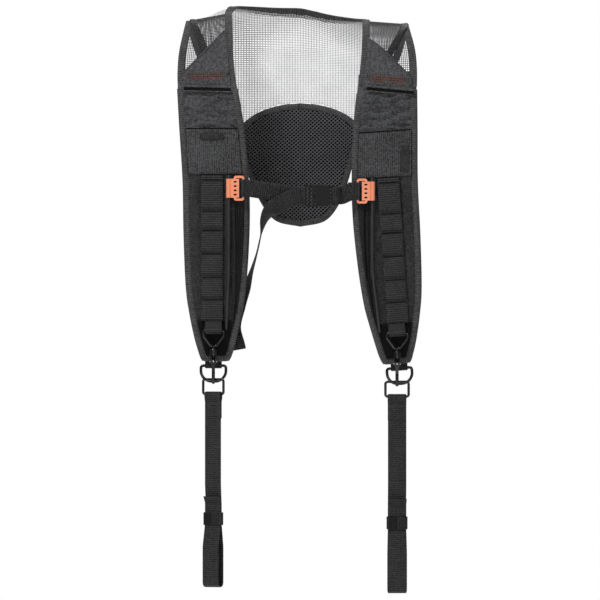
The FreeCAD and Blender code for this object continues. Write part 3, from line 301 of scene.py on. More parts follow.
def ribbon(pile, points, across, wide, thick, closed=False):
    """A strip of webbing with rounded selvedges. across is one width direction or one for each point."""
    along = tangents(points, closed)
    half = wide / 2
    lip = min(thick * 0.8, half * 0.3)
    flat = wide - 2 * lip
    segments = 6
    tops = ([-half + lip * 0.35] + [-half + lip + flat * k / segments for k in range(segments)]
            + [half - lip, half - lip * 0.35])
    rise = [0.62] + [1.0] * (segments + 1) + [0.62]
    face = [(x, thick / 2 * r) for x, r in zip(tops, rise)]
    profile = [(-half, 0.0)] + face + [(half, 0.0)] + [(x, -h) for x, h in face[::-1]]

    def ring_at(i):
        wide_dir = across[i] if isinstance(across, list) else across
        wide_dir = (wide_dir - along[i] * wide_dir.dot(along[i])).normalized()
        normal = along[i].cross(wide_dir).normalized()
        return [points[i] + wide_dir * x + normal * h for x, h in profile], [x + half for x, h in profile]

    rings, uvs = swept(points, ring_at)
    pile.rings(rings, closed=closed, uvs=uvs)


def stitch_run(pile, points, normals=FRONT, length=2.4, gap=1.2, radius=0.27):
    """Separate thread stitches along a line on cloth. normals is one direction or a list of them."""
    line = resample(points, (length + gap) / 2)
    high = 0.1 + radius * 0.6
    for i in range(0, len(line) - 1, 2):
        a = line[i]
        b = line[i + 1]
        n = normals
        if isinstance(normals, list):
            n = normals[min(len(normals) - 1, round(i / max(1, len(line) - 1) * (len(normals) - 1)))]
        half = (b - a).normalized() * (length / 2)
        mid = (a + b) / 2
        tube(pile, [mid - half - n * 0.15, mid - half * 0.55 + n * high, mid + half * 0.55 + n * high,
                    mid + half - n * 0.15], [radius * 0.7, radius, radius, radius * 0.7], sides=5, hint=n)


def stitch_box(pile, x_low, x_high, y, z_low, z_high):
    """A sewn box with its diagonals, facing front."""
    a, b, c, d = [Vector(p) for p in ((x_low, y, z_high), (x_high, y, z_high), (x_high, y, z_low), (x_low, y, z_low))]
    for p, q in ((a, b), (b, c), (c, d), (d, a), (a, c), (b, d)):
        stitch_run(pile, [p, q])


# ---------------------------------------------------------------- materials
class Graph:
    """The nodes of one material and the shader that they feed."""

    def __init__(self, mat, colour):
        self.nodes = mat.node_tree.nodes
        self.links = mat.node_tree.links
        self.shader = self.nodes["Principled BSDF"]
        self.colour = colour

    def math(self, kind, a, b=None, c=None):
        node = self.nodes.new("ShaderNodeMath")
        node.operation = kind
        for socket, value in zip(node.inputs, (a, b, c)):
            if isinstance(value, (int, float)):
                socket.default_value = value
            elif value is not None:
                self.links.new(value, socket)
        return node.outputs[0]

    def blend(self, a, share, b):
        """a times its share, plus b."""
        return self.math("MULTIPLY_ADD", a, share, b)

    def coords(self, uv=False):
        """The object's own position, or the U and V of a strip, in metres."""
        if uv:
            source = self.nodes.new("ShaderNodeUVMap")
            source.uv_map = "cloth"
            vector = source.outputs["UV"]
        else:
            vector = self.nodes.new("ShaderNodeTexCoord").outputs["Object"]
        split = self.nodes.new("ShaderNodeSeparateXYZ")
        self.links.new(vector, split.inputs[0])
        return vector, split.outputs[0], split.outputs[1], split.outputs[2]

    def ridge(self, value, pitch):
        """A smooth wave from 0 to 1 with one crest per pitch in metres."""
        wave = self.math("SINE", self.math("MULTIPLY", value, 2 * math.pi / pitch))
        return self.blend(wave, 0.5, 0.5)

    def noise(self, vector, scale, detail=4.0, rough=0.55):
        node = self.nodes.new("ShaderNodeTexNoise")
        node.inputs["Scale"].default_value = scale
        node.inputs["Detail"].default_value = detail
        node.inputs["Roughness"].default_value = rough
        self.links.new(vector, node.inputs["Vector"])
        return node.outputs["Fac"]

    def stretch(self, value, low, high):
        """Spreads the middle of a range over the whole of it."""
        node = self.nodes.new("ShaderNodeMapRange")
        node.inputs["From Min"].default_value = low
        node.inputs["From Max"].default_value = high
        self.links.new(value, node.inputs["Value"])
        return node.outputs["Result"]

    def grain(self, vector):
        """Slubs and broken threads a few millimetres long."""
        return self.stretch(self.noise(vector, 330.0, 1.5), 0.38, 0.62)

    def wear(self, vector, scale, detail):
        """Broad faint patches of rubbing and dust."""
        return self.stretch(self.noise(vector, scale, detail), 0.3, 0.7)

    def tint(self, factor, low, high):
        """Varies the base colour between two multiples of itself."""
        mix = self.nodes.new("ShaderNodeMix")
        mix.data_type = "RGBA"
        self.links.new(factor, mix.inputs["Factor"])
        for socket, share in (("A", low), ("B", high)):
            mix.inputs[socket].default_value = (*[min(1.0, c * share) for c in self.colour], 1)
        self.links.new(mix.outputs["Result"], self.shader.inputs["Base Color"])

    def bump(self, height, strength, distance):
        node = self.nodes.new("ShaderNodeBump")
        node.inputs["Strength"].default_value = strength
        node.inputs["Distance"].default_value = distance
        self.links.new(height, node.inputs["Height"])
        self.links.new(node.outputs["Normal"], self.shader.inputs["Normal"])


def material(name, slot_name, colour, roughness, build, metallic=0.0, sheen=0.0, spec=0.4, coat=0.0):
    """A procedural material. build(graph) adds colour variation and bump."""
    mat = bpy.data.materials.new(name)
    mat.use_nodes = True
    graph = Graph(mat, colour)
    for socket, value in (("Base Color", (*colour, 1)), ("Roughness", roughness), ("Metallic", metallic),
                          ("Specular IOR Level", spec), ("Sheen Weight", sheen), ("Sheen Roughness", 0.45),
                          ("Coat Weight", coat)):
        graph.shader.inputs[socket].default_value = value
    build(graph)
    mat["slot"] = slot_name
    return mat


def woven(pitch, strength):
    """Plain weave over and under in the panel's own plane, with slubs and faint dust. The colour darkens in the gaps
    of the weave as painted shade.
    """
    def build(g):
        vector, x, _, z = g.coords()
        over = g.math("MAXIMUM", g.ridge(x, pitch), g.ridge(z, pitch))
        thread = g.grain(vector)
        broad = g.wear(vector, 24.0, 5.0)
        g.bump(g.blend(thread, 0.8, over), strength, pitch * 0.25)
        # the weave term darkens the gaps between threads as painted shade; the slubs and dust are the cloth's own
        # tone
        shade = g.blend(thread, 0.45, g.math("MULTIPLY", over, 0.25))
        g.tint(g.blend(broad, 0.3, shade), 0.2, 2.1)
    return build


def webbing_look(rib, strength):
    """Ribs across the strip with finer cords along it, worn a little, from the strip's own U and V. The colour
    darkens between the ribs as painted shade.
    """
    def build(g):
        vector, u, v, _ = g.coords(uv=True)
        weave = g.blend(g.ridge(u, rib * 0.7), 0.18, g.math("MULTIPLY", g.ridge(v, rib), 0.82))
        thread = g.grain(vector)
        g.bump(g.blend(thread, 0.35, weave), strength, rib * 0.3)
        # the weave term darkens the gaps between ribs as painted shade; the wear and grain are the webbing's own tone
        shade = g.blend(weave, 0.5, g.math("MULTIPLY", g.wear(vector, 48.0, 4.0), 0.22))
        g.tint(g.blend(thread, 0.28, shade), 0.05, 2.5)
    return build


def ribbed(pitch, strength):
    """Fine upright ribs that waver a little, as on a soft corded cloth. The colour darkens between the ribs as
    painted shade.
    """
    def build(g):
        vector, x, _, z = g.coords()
        ribs = g.ridge(g.blend(g.noise(vector, 60.0, 2.0), pitch * 1.6, x), pitch)
        fine = g.ridge(z, pitch * 0.8)
        broad = g.wear(vector, 26.0, 4.0)
        thread = g.grain(vector)
        g.bump(g.blend(thread, 0.5, g.blend(fine, 0.2, ribs)), strength, pitch * 0.3)
        # the rib term darkens the gaps between ribs as painted shade; the broad patches and grain are the cloth's own
        # tone
        shade = g.blend(ribs, 0.35, g.math("MULTIPLY", broad, 0.25))
        g.tint(g.blend(thread, 0.4, shade), 0.15, 2.1)
    return build


def fuzzy(scale, strength, low=0.75, high=1.3):
    """Fine broken grain, for thread, foam, cord and moulded parts."""
    def build(g):
        vector = g.coords()[0]
        g.bump(g.noise(vector, scale), strength, 0.0002)
        g.tint(g.noise(vector, scale / 18, 3.0), low, high)
    return build


def worn_metal(g):
    """Black plating with fine scratches, duller and lighter where it is rubbed."""
    vector = g.coords()[0]
    broad = g.noise(vector, 160.0, 6.0, 0.7)
    g.links.new(g.blend(broad, 0.2, 0.1), g.shader.inputs["Roughness"])
    g.bump(g.noise(vector, 1400.0, 2.0), 0.12, 0.0001)
    g.tint(broad, 0.6, 1.9)


NYLON = material("nylon", "nylon", (0.017, 0.0172, 0.018), 0.6, woven(0.0018, 1.0), sheen=0.03, spec=0.16)
# a lighter copy of the pad's nylon for its creased upper part: the extra lightness is painted sheen of the wrinkles
# catching the light
CREASED_SHEEN = material("nylon_creased_painted_sheen", "nylon", (0.042, 0.0425, 0.0445), 0.6, woven(0.0018, 1.0), sheen=0.05, spec=0.16)
# the pocket panel's cloth is partly its own dark tone and partly painted shade where the panel turns from the light
POCKET = material("nylon_pocket_painted_shade", "nylon", (0.005, 0.005, 0.0053), 0.5, woven(0.0018, 0.8), spec=0.16)
PATCH = material("nylon_patch", "nylon", (0.043, 0.0435, 0.0455), 0.6, woven(0.0018, 1.0), sheen=0.05, spec=0.16)
RIBBED = material("ribbed_nylon", "ribbed_nylon", (0.042, 0.0425, 0.044), 0.65, ribbed(0.003, 1.0), sheen=0.05,
                  spec=0.16)
TAPE = material("binding_tape", "binding_tape", (0.041, 0.041, 0.0425), 0.7, webbing_look(0.0026, 1.0), sheen=0.05,
                spec=0.14)
WEB = material("webbing", "webbing", (0.015, 0.015, 0.0158), 0.55, webbing_look(0.003, 1.0), sheen=0.02, spec=0.16)
BAND = material("band_webbing", "webbing", (0.013, 0.013, 0.0138), 0.55, webbing_look(0.003, 1.0), spec=0.16)
# near-black cloth for the end patch; the slot strip, the strip over the sleeve hem and the daisy bar tacks use it as
# painted shade
DARK = material("black_and_painted_shade", "nylon", (0.004, 0.004, 0.0042), 0.8, fuzzy(500.0, 0.3), spec=0.08)
PIPING = material("piping", "piping", (0.022, 0.022, 0.023), 0.6, fuzzy(600.0, 0.5, 0.5, 1.7), sheen=0.03, spec=0.25)
NET_GREY = material("grey_net", "grey_mesh", (0.56, 0.56, 0.57), 0.75, fuzzy(700.0, 0.2), spec=0.15)
NET_DARK = material("dark_net", "open_mesh", (0.045, 0.045, 0.047), 0.6, fuzzy(700.0, 0.2), spec=0.2)
AIR = material("air_mesh", "air_mesh", (0.003, 0.003, 0.0033), 0.85, fuzzy(500.0, 0.4), spec=0.08)
# the spacer mesh is black; its cords are grey here as painted highlight of the light they catch
LATTICE = material("air_lattice_painted_highlight", "air_mesh", (0.075, 0.075, 0.08), 0.5, fuzzy(900.0, 0.25), sheen=0.05, spec=0.3)
THREAD = material("thread_grey", "nylon", (0.05, 0.05, 0.053), 0.6, fuzzy(1500.0, 0.3), spec=0.3)
THREAD_ORANGE = material("thread_orange", "orange_plastic", (0.20, 0.062, 0.035), 0.6, fuzzy(1500.0, 0.3), spec=0.3)
LABEL = material("label_cloth", "label_cloth", (0.013, 0.013, 0.0135), 0.5, woven(0.0008, 0.3), spec=0.25)
ORANGE = material("orange_plastic", "orange_plastic", (0.74, 0.235, 0.115), 0.34, fuzzy(500.0, 0.06, 0.92, 1.08),
                  spec=0.5, coat=0.15)
PLASTIC = material("black_plastic", "black_plastic", (0.003, 0.003, 0.0032), 0.34, fuzzy(900.0, 0.1), spec=0.22)
METAL = material("black_metal", "black_metal", (0.03, 0.03, 0.032), 0.22, worn_metal, metallic=1.0, spec=0.5)
STEEL = material("steel", "steel", (0.45, 0.45, 0.46), 0.3, fuzzy(900.0, 0.1), metallic=1.0)


def dress(obj, mat, *replaced):
    """Hides the CAD nodes that a piece stands for, and gives the piece back."""
    if replaced:
        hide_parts(*replaced)
    return obj


def dress_node(node, mat):
    """Gives a CAD node its material."""
    obj = NODES[node]
    obj.data.materials.clear()
    obj.data.materials.append(mat)


# ---------------------------------------------------------------- the worn form as a surface
QUARTER = 80.0      # length of cloth from the crest to where the panels fall straight


def rise_at(x):
    return RISE - FALL * (math.sqrt(x * x + 25.0) - 3.0)


def form(x, run, lift=0.0):
    """A point on the worn form and its normal. run is the cloth's length from the crest, backward positive."""
    if abs(run) <= QUARTER:
        angle = math.pi / 2 * (1 + run / QUARTER)
        rise = rise_at(x)
        p = Vector((x, -DEPTH * math.cos(angle), -DROP + rise * math.sin(angle)))
        n = Vector((0, -rise * math.cos(angle), DEPTH * math.sin(angle))).normalized()
    else:
        sign = 1 if run > 0 else -1
        p = Vector((x, sign * DEPTH, -DROP - (abs(run) - QUARTER)))
        n = Vector((0, sign, 0))
    return p + n * lift, n


SAG = [(0.0, 0.0), (23.0, 1.5), (57.0, 7.0), (80.0, 10.5), (95.0, 12.5), (125.0, 9.0), (152.0, 6.0), (175.0, 5.0)]


def relaxed(p):
    """The yoke as it hangs: fuller behind the left shoulder, and sunk at the right one."""
    across = blend_step(-p.x, -45.0, 92.0) * (1 - blend_step(-p.x, 104.0, 146.0))
    behind = blend_step(p.y, 1.0, 16.0) * (1 - blend_step(-p.z, 0.0, 70.0))
    sunk = 0.0
    for low, high in zip(SAG, SAG[1:]):
        if low[0] <= p.x < high[0]:
            sunk = low[1] + (high[1] - low[1]) * (p.x - low[0]) / (high[0] - low[0])
    sunk *= blend_step(p.z, -46.0, 8.0) if p.y < 0 else blend_step(p.z, -80.0, 8.0)
    return p + Vector((0, 0, 9.0 * across * behind - sunk))


def relax(obj):
    for v in obj.data.vertices:
        v.co = relaxed(v.co * 1000) * MM
    return obj


def run_at(x, z):
    """The run forward or backward of the crest at which the form has a height."""
    if z <= -DROP:
        return QUARTER + (-DROP - z)
    angle = math.asin(min(1.0, (z + DROP) / rise_at(x)))
    return QUARTER * (1 - angle / (math.pi / 2))


# ---------------------------------------------------------------- front pads
EDGE_FRONT = FACE_Y + 3.2
EDGE_BACK = LINER_Y - 2.4


def face_depth(inside):
    """How far forward the pad's face stands, by distance from its edge."""
    t = min(1.0, max(0.0, inside) / 20.0)
    return EDGE_FRONT + (FACE_Y - EDGE_FRONT) * (1 - (1 - t) ** 2)


def liner_depth(inside):
    t = min(1.0, max(0.0, inside) / 26.0)
    return EDGE_BACK + (LINER_Y - EDGE_BACK) * (1 - (1 - t) ** 2)


def crease(side, x, z):
    """Soft creases of the loose nylon under the patch, and a long fold beside the inner binding."""
    upper = blend_step(-z, 97.0, 104.0) * (1 - blend_step(-z, 144.0, 153.0))
    first = noise.noise(Vector((x * 0.022, z * 0.13, side * 11.0)))
    second = noise.noise(Vector((x * 0.045 + 9.0, z * 0.27, side * 3.0)))
    value = upper * (3.4 * (1 - min(1.0, abs(first) * 4.5)) + 1.7 * (1 - min(1.0, abs(second) * 4.0)) - 1.6)
    low = blend_step(-z, 262.0, 300.0) * (1 - blend_step(-z, 372.0, 400.0))
    inner = x_at(INNER, z)
    centre = inner + 16.0 + (z + 262.0) * 0.03
    value -= 1.5 * low * math.exp(-((abs(x) - centre) / 3.6) ** 2)
    value += 0.25 * noise.noise(Vector((x * 0.04, z * 0.045, side * 5.0)))
    return value


def pad_body(side, tag):
    """One padded front panel as a closed form: crowned face, softer back, pulled in at its edges."""
    top = PAD_TOP + 26.0
    rows = 150
    columns = 34
    verts = []
    faces = []
    for j in range(rows + 1):
        z = top + (PAD_BOTTOM - top) * j / rows
        outer = x_at(OUTER, z) if z < PAD_TOP else x_at(Y_OUTER, z)
        inner = x_at(INNER, z) if z < PAD_TOP else x_at(Y_INNER, z)
        thin = blend_step(z, PAD_TOP - 16.0, top)
        ring_front = []
        ring_back = []
        for i in range(columns + 1):
            t = 0.5 - 0.5 * math.cos(math.pi * i / columns)
            x = outer + (inner - outer) * t
            inside = min(outer - x, x - inner, (z - PAD_BOTTOM) * 1.2)
            front = face_depth(inside)
            back = liner_depth(inside)
            if z < PAD_TOP:
                front -= crease(side, x, z) * blend_step(inside, 3.0, 14.0)
            middle = (EDGE_FRONT + EDGE_BACK) / 2 + 4.0 * thin
            front = front + (middle - 1.0 - front) * thin
            back = back + (middle + 1.0 - back) * thin
            ring_front.append((side * x, front, z))
            ring_back.append((side * x, back, z))
        verts.extend(ring_front + ring_back[::-1])
    n = 2 * (columns + 1)
    for j in range(rows):
        for k in range(n):
            m = (k + 1) % n
            quad = (j * n + k, j * n + m, (j + 1) * n + m, (j + 1) * n + k)
            faces.append(quad if side < 0 else quad[::-1])
    faces.append(tuple(range(n)) if side > 0 else tuple(range(n))[::-1])
    last = tuple(rows * n + k for k in range(n))
    faces.append(last if side < 0 else last[::-1])
    obj = new_piece("pad_body_" + tag, verts, faces, NYLON, matrix=lean_matrix(side))
    obj.data.materials.append(CREASED_SHEEN)
    # the upper part takes the lighter copy of the nylon, as painted sheen on its wrinkles
    for polygon in obj.data.polygons:
        polygon.material_index = 1 if polygon.center.z > (SLEEVE_LOW.z + 20.0) * MM else 0
    dress(obj, NYLON, "pad_face_" + tag, "pad_foam_" + tag, "pad_liner_" + tag)
    settle(obj, side, n, columns)
    return obj


def settle(obj, side, ring, columns):
    """A short cloth run: the face swells a little between its seams and its edge stays sewn."""
    mesh = obj.data
    before = [v.co.copy() for v in mesh.vertices]
    group = obj.vertex_groups.new(name="sewn")
    for v in mesh.vertices:
        k = v.index % ring
        j = v.index // ring
        edge = min(k, abs(k - columns), abs(k - columns - 1), ring - 1 - k)
        hold = 1.0 if edge < 3 else (0.5 if edge < 5 else 0.12)
        group.add([v.index], 1.0 if j < 12 else hold, "REPLACE")
    cloth = obj.modifiers.new("cloth", "CLOTH")
    cloth.settings.quality = 4
    cloth.settings.mass = 0.3
    cloth.settings.tension_stiffness = 18
    cloth.settings.compression_stiffness = 12
    cloth.settings.bending_stiffness = 0.4
    cloth.settings.use_pressure = True
    cloth.settings.uniform_pressure_force = 1.2
    cloth.settings.shrink_min = -0.025
    cloth.settings.vertex_group_mass = "sewn"
    cloth.settings.pin_stiffness = 1.5
    cloth.settings.effector_weights.gravity = 0.0
    scene = bpy.context.scene
    cloth.point_cache.frame_start = 1
    cloth.point_cache.frame_end = 14
    for step in range(1, 15):
        scene.frame_set(step)
    shaped = obj.evaluated_get(bpy.context.evaluated_depsgraph_get())
    after = [v.co.copy() for v in shaped.data.vertices]
    obj.modifiers.remove(cloth)
    limit = 1.6 * MM
    face = (FACE_Y - 0.35) * MM
    for v, a, b in zip(mesh.vertices, before, after):
        move = b - a
        if move.length > limit:
            move *= limit / move.length
        v.co = a + move
        floor = face if a.z < (SLEEVE_HIGH.z - 2.0) * MM else face - 1.2 * MM
        v.co.y = max(v.co.y, floor)
    scene.frame_set(1)


# ---------------------------------------------------------------- binding tapes
def edge_frame(points):
    """Outward normals in the XZ plane of an outline that runs down the arm side and up the neck side."""
    return [Vector((-t.z, 0, t.x)) for t in tangents(points)]


def pad_tape(side, tag):
    """Binding folded over the pad's edge, with a row of stitches."""
    outer = [Vector((p[0], 0, p[1])) for p in OUTER]
    inner = [Vector((p[0], 0, p[1])) for p in INNER]
    outer[-1].z = PAD_BOTTOM
    inner[-1].z = PAD_BOTTOM
    up = inner[::-1]
    room = 13.0
    last = max(n for n, q in enumerate(outer) if (q - outer[-1]).length > room)
    first = min(n for n, q in enumerate(up) if (q - up[0]).length > room)
    middle = outer[-1].lerp(up[0], 0.5)
    outline = resample(fillet([outer[last], outer[-1], middle], 7.0)[:-1]
                       + fillet([middle, up[0], up[first]], 7.0), 3.0)
    path = resample(outer[:last], 4.0) + outline + resample(up[first + 1:], 4.0)
    path = [p for n, p in enumerate(path) if n == 0 or (p - path[n - 1]).length > 0.6]
    normals = edge_frame(path)
    lip = 8.2
    front = EDGE_FRONT - 1.9
    back = EDGE_BACK + 1.7
    profile = [(-lip, front + 0.7), (-lip, front - 0.1), (-lip + 0.9, front - 1.0), (-lip * 0.45, front - 1.2),
               (-1.4, front - 0.5), (0.5, front + 1.7), (1.0, front + 4.0), (1.0, back - 3.0), (0.4, back - 0.9),
               (-1.2, back - 0.1), (-lip, back), (-lip, back - 0.9), (-1.6, back - 1.2), (-0.3, back - 3.4),
               (-0.3, front + 4.2), (-0.8, front + 2.2), (-1.8, front + 1.3)]
    pile = Pile()
    around = [0.0]
    for a, b in zip(profile, profile[1:]):
        around.append(around[-1] + math.dist(a, b))

    def ring_at(i):
        p = path[i]
        thin = blend_step(p.z, PAD_TOP - 14.0, PAD_TOP + 0.5)
        ring = []
        for out, y in profile:
            depth = y + 0.18 * noise.noise(Vector((p.x * 0.08, y * 0.2, p.z * 0.08)))
            depth += (-(DEPTH + 6.0) - depth) * 0.55 * thin
            q = p + normals[i] * out
            ring.append((side * q.x, depth, q.z))
        return ring, around

    rings, uvs = swept(path, ring_at)
    pile.rings(rings, uvs=uvs)
    pile.piece("pad_tape_" + tag, TAPE, "pad_binding_" + tag, matrix=lean_matrix(side))

    seams = Pile()
    sewn = path[4:-4]
    lane = [p + n * -6.6 for p, n in zip(sewn, edge_frame(sewn))]
    stitch_run(seams, [Vector((side * p.x, front - 0.95, p.z)) for p in lane])
    seams.piece("pad_tape_stitches_" + tag, THREAD, matrix=lean_matrix(side))


def flat_tape(name, points, normals, inward, widths, node):
    """A tape over the edge of the mesh: an oval band with a stitched lane near its inner selvedge."""
    thick = 2.9
    steps = 14

    def ring_at(i):
        half = widths[i] / 2
        ring = []
        us = []
        for k in range(steps):
            angle = 2 * math.pi * k / steps
            c, s = math.cos(angle), math.sin(angle)
            x = half * math.copysign(abs(c) ** 0.55, c)
            y = thick / 2 * math.copysign(abs(s) ** 0.75, s)
            ring.append(points[i] + inward[i] * (half + x) + normals[i] * y)
            us.append(x + half)
        return ring, us

    pile = Pile()
    seams = Pile()
    rings, uvs = swept(points, ring_at)
    pile.rings(rings, uvs=uvs)
    for sign in (1, -1):
        lane = [p + a * (wide - 2.0) + n * (sign * (thick / 2 - 0.25))
                for p, n, a, wide in zip(points, normals, inward, widths)]
        stitch_run(seams, lane, [n * sign for n in normals])
    first, _, last = name.partition("_tape")
    pile.piece(name, TAPE, node, shape=relax)
    seams.piece(first + "_tape_stitches" + last, THREAD, shape=relax)


def edge_x(curve, z, side, back=False):
    """Distance of a yoke edge from the middle plane at a height, on one side."""
    amount = SHOULDER_IN[side]
    if back:
        low = BACK_OUTER[-1][1]
        top = BACK_OUTER[0][1]
        if z > top:
            return BACK_OUTER[0][0] - amount
        return x_at(curve, z) - amount * (z - low) / (top - low)
    if z > curve[0][1] and z > curve[-1][1]:
        return max(curve, key=lambda p: p[1])[0] - amount
    return x_at(curve, z) - amount


def edge_on_form(side, curve, run, back=False):
    """The point of a yoke edge at a run of cloth over the form."""
    x = 130.0
    for _ in range(4):
        p, n = form(x, run)
        x = edge_x(curve, p.z, side, back)
    p, n = form(x, run)
    return mirrored(p, side), n


TAPE_WIDE = 10.4
TAPE_AHEAD = 5.2        # the yoke's tapes come this far forward to meet the pad
PATCH_AHEAD = 6.2       # and its nylon this far


def arm_tape(side, tag):
    """Binding on the arm side: up the front, over the crest and down the back to the back pad."""
    points = []
    normals = []
    run = -(QUARTER + 54.0)
    while run < QUARTER + 113.0:
        curve = Y_OUTER if run < 0 else B_OUTER
        p, n = edge_on_form(side, curve, run, run >= 0)
        ahead = blend_step(-p.z, 50.0, 96.0) if run < 0 else 0.0
        points.append(p + FRONT * (TAPE_AHEAD * ahead))
        normals.append(n)
        run += 3.0
    points = smoothed(points, 4)
    inward = []
    for t, n in zip(tangents(points), normals):
        a = n.cross(t) if side < 0 else t.cross(n)
        a.normalize()
        if a.x * side > 0 and abs(a.x) > 0.2:
            a = -a
        inward.append(a)
    flat_tape("arm_tape_" + tag, points, normals, inward, [TAPE_WIDE] * len(points), "arm_binding_" + tag)


def neck_tape():
    """Binding round the neck: up the left panel, round behind the neck and down the right panel."""
    points = []
    normals = []
    for side in (-1, 1):
        half = []
        half_n = []
        run = -(QUARTER + 52.0)
        while run < -4.0:
            p, n = edge_on_form(side, Y_INNER, run)
            ahead = blend_step(-p.z, 50.0, 96.0)
            half.append(p + FRONT * (TAPE_AHEAD * ahead))
            half_n.append(n)
            run += 3.0
        major = NECK_HALF - SHOULDER_IN[side]
        for k in range(1, 40):
            angle = math.pi / 2 * k / 40
            x = major * math.cos(angle)
            y = NECK_BACK * math.sin(angle)
            phi = math.acos(-y / DEPTH)
            p, n = form(x, (phi / (math.pi / 2) - 1) * QUARTER)
            half.append(mirrored(p, side))
            half_n.append(n)
        if side < 0:
            points, normals = half, half_n
        else:
            points = points + half[::-1]
            normals = normals + half_n[::-1]
    points = smoothed(points, 3)
    inward = [n.cross(t).normalized() for t, n in zip(tangents(points), normals)]
    if inward[0].x > 0:
        inward = [-a for a in inward]
    widths = [TAPE_WIDE + 8.2 * blend_step(p.y, 4.0, 26.0) for p in points]     # wider behind the neck
    flat_tape("neck_tape", points, normals, inward, widths, "neck_binding")


# ---------------------------------------------------------------- nets and panels
def slant_at(x, side):
    """Height of the slanted line at which mesh gives way to nylon."""
    return -7.0 - SLANT_DROP[side] - (x + SHOULDER_IN[side] - 98.0)


def strands(pile, line, inside, radius):
    """A cord along each piece of a line that lies where inside says so."""
    now = []
    for p in line + [None]:
        if p is not None and inside(p):
            now.append(p)
        else:
            if len(now) > 1:
                tube(pile, now, radius, sides=4)
            now = []


def shoulder_net(side, tag):
    """Dark open mesh over the shoulder, in front of the crest, down to the slanted line."""
    pitch = 2.7
    pile = Pile()
    rows = []
    for k in range(70):
        run = -1.0 - pitch * k
        outer = edge_on_form(side, Y_OUTER, run)[0]
        inner = edge_on_form(side, Y_INNER, run)[0]
        rows.append((run, abs(outer.x) - 8.0, abs(inner.x) + 8.0))
    count = round(66.0 / pitch)

    def place(share, run, outer, inner):
        x = outer + (inner - outer) * share
        p, n = form(x, run)
        return mirrored(p, side)

    def above(p):
        return p.z > slant_at(abs(p.x), side) - 3.0

    for i in range(count + 1):
        strands(pile, [place(i / count, *row) for row in rows], above, 0.43)
    for row in rows:
        strands(pile, [place(i / 24, *row) for i in range(25)], above, 0.43)
    obj = pile.piece("shoulder_net_" + tag, NET_DARK, "shoulder_mesh_" + tag, shape=relax)


def back_net():
    """Light grey knitted mesh across the shoulders behind the neck, down to the back pad."""
    warp = 3.8
    weft = 2.5
    reach = 152.0
    pile = Pile()

    def inside(p):
        side = -1 if p.x < 0 else 1
        x = abs(p.x)
        if p.y < 0.5:
            return False
        if x > edge_x(B_OUTER, p.z, side, True) - 7.0:
            return False
        major = NECK_HALF - SHOULDER_IN[side] + 7.0
        if (x / major) ** 2 + (p.y / (NECK_BACK + 7.0)) ** 2 < 1.0 and p.z > -30.0:
            return False
        if p.z < -60.0 and p.z < height_of_back_top(x) + 1.0:
            return False
        return p.z > -152.0

    columns = round(2 * reach / warp)
    across = [-reach + 2 * reach * i / columns for i in range(columns + 1)]
    runs = [1.0 + weft * k for k in range(math.ceil((QUARTER + 111.0) / weft))]

    def place(x, run):
        p = form(abs(x), run)[0]
        return Vector((x, p.y, p.z))

    for x in across:
        strands(pile, [place(x, run) for run in runs], inside, 0.6)
    for run in runs:
        strands(pile, [place(x, run) for x in across], inside, 0.6)
    obj = pile.piece("back_net", NET_GREY, "back_mesh", shape=relax)


def height_of_back_top(x):
    """Height of the back pad's upper edge."""
    best = B_TOP[0].y
    for a, b in zip(B_TOP, B_TOP[1:]):
        if a.x <= x <= b.x and b.x > a.x:
            best = a.y + (b.y - a.y) * (x - a.x) / (b.x - a.x)
    return best if x <= BACK_TOP[-1][0] else BACK_TOP[-1][1]


def panel(name, point_at, rows, columns, thick, mat, matrix=None):
    """A closed thin panel. point_at gives a point and a normal for two shares from 0 to 1."""
    front = []
    back = []
    for j in range(rows + 1):
        for i in range(columns + 1):
            p, n = point_at(i / columns, j / rows)
            front.append(p + n * (thick / 2))
            back.append(p - n * (thick / 2))
    total = len(front)
    wide = columns + 1
    faces = []
    for j in range(rows):
        for i in range(columns):
            a = j * wide + i
            quad = (a, a + 1, a + wide + 1, a + wide)
            faces.append(quad)
            faces.append(tuple(total + v for v in quad[::-1]))
    rim = list(range(wide)) + [(j + 1) * wide - 1 for j in range(1, rows + 1)]
    rim += [rows * wide + i for i in range(columns - 1, -1, -1)] + [j * wide for j in range(rows - 1, 0, -1)]
    for a, b in zip(rim, rim[1:] + rim[:1]):
        faces.append((a, total + a, total + b, b))
    obj = new_piece(name, front + back, faces, mat, matrix=matrix)
    tidy_normals(obj)
    return obj


def tidy_normals(obj):
    work = bmesh.new()
    work.from_mesh(obj.data)
    bmesh.ops.recalc_face_normals(work, faces=work.faces)
    work.to_mesh(obj.data)
    work.free()


def patch_point(side, s, t):
    """A point on the nylon patch between the slanted line and the pad."""
    low = -97.5
    x = 130.0
    z = -60.0
    for _ in range(6):
        outer = edge_x(Y_OUTER, max(z, YOKE_OUTER[-1][1]), side) - 7.5
        inner = edge_x(Y_INNER, max(z, YOKE_INNER[-1][1]), side) + 7.5
        x = outer + (inner - outer) * s
        top = slant_at(x, side)
        z = top + (low - top) * t
    p, n = form(x, -run_at(x, z))
    ahead = blend_step(-z, 45.0, 94.0)
    puff = 0.9 * noise.noise(Vector((x * 0.05, z * 0.055, side * 7.0))) * hump(s)
    p = p + n * (1.0 + puff + 0.5)
    p.y -= PATCH_AHEAD * ahead
    return mirrored(p, side), n


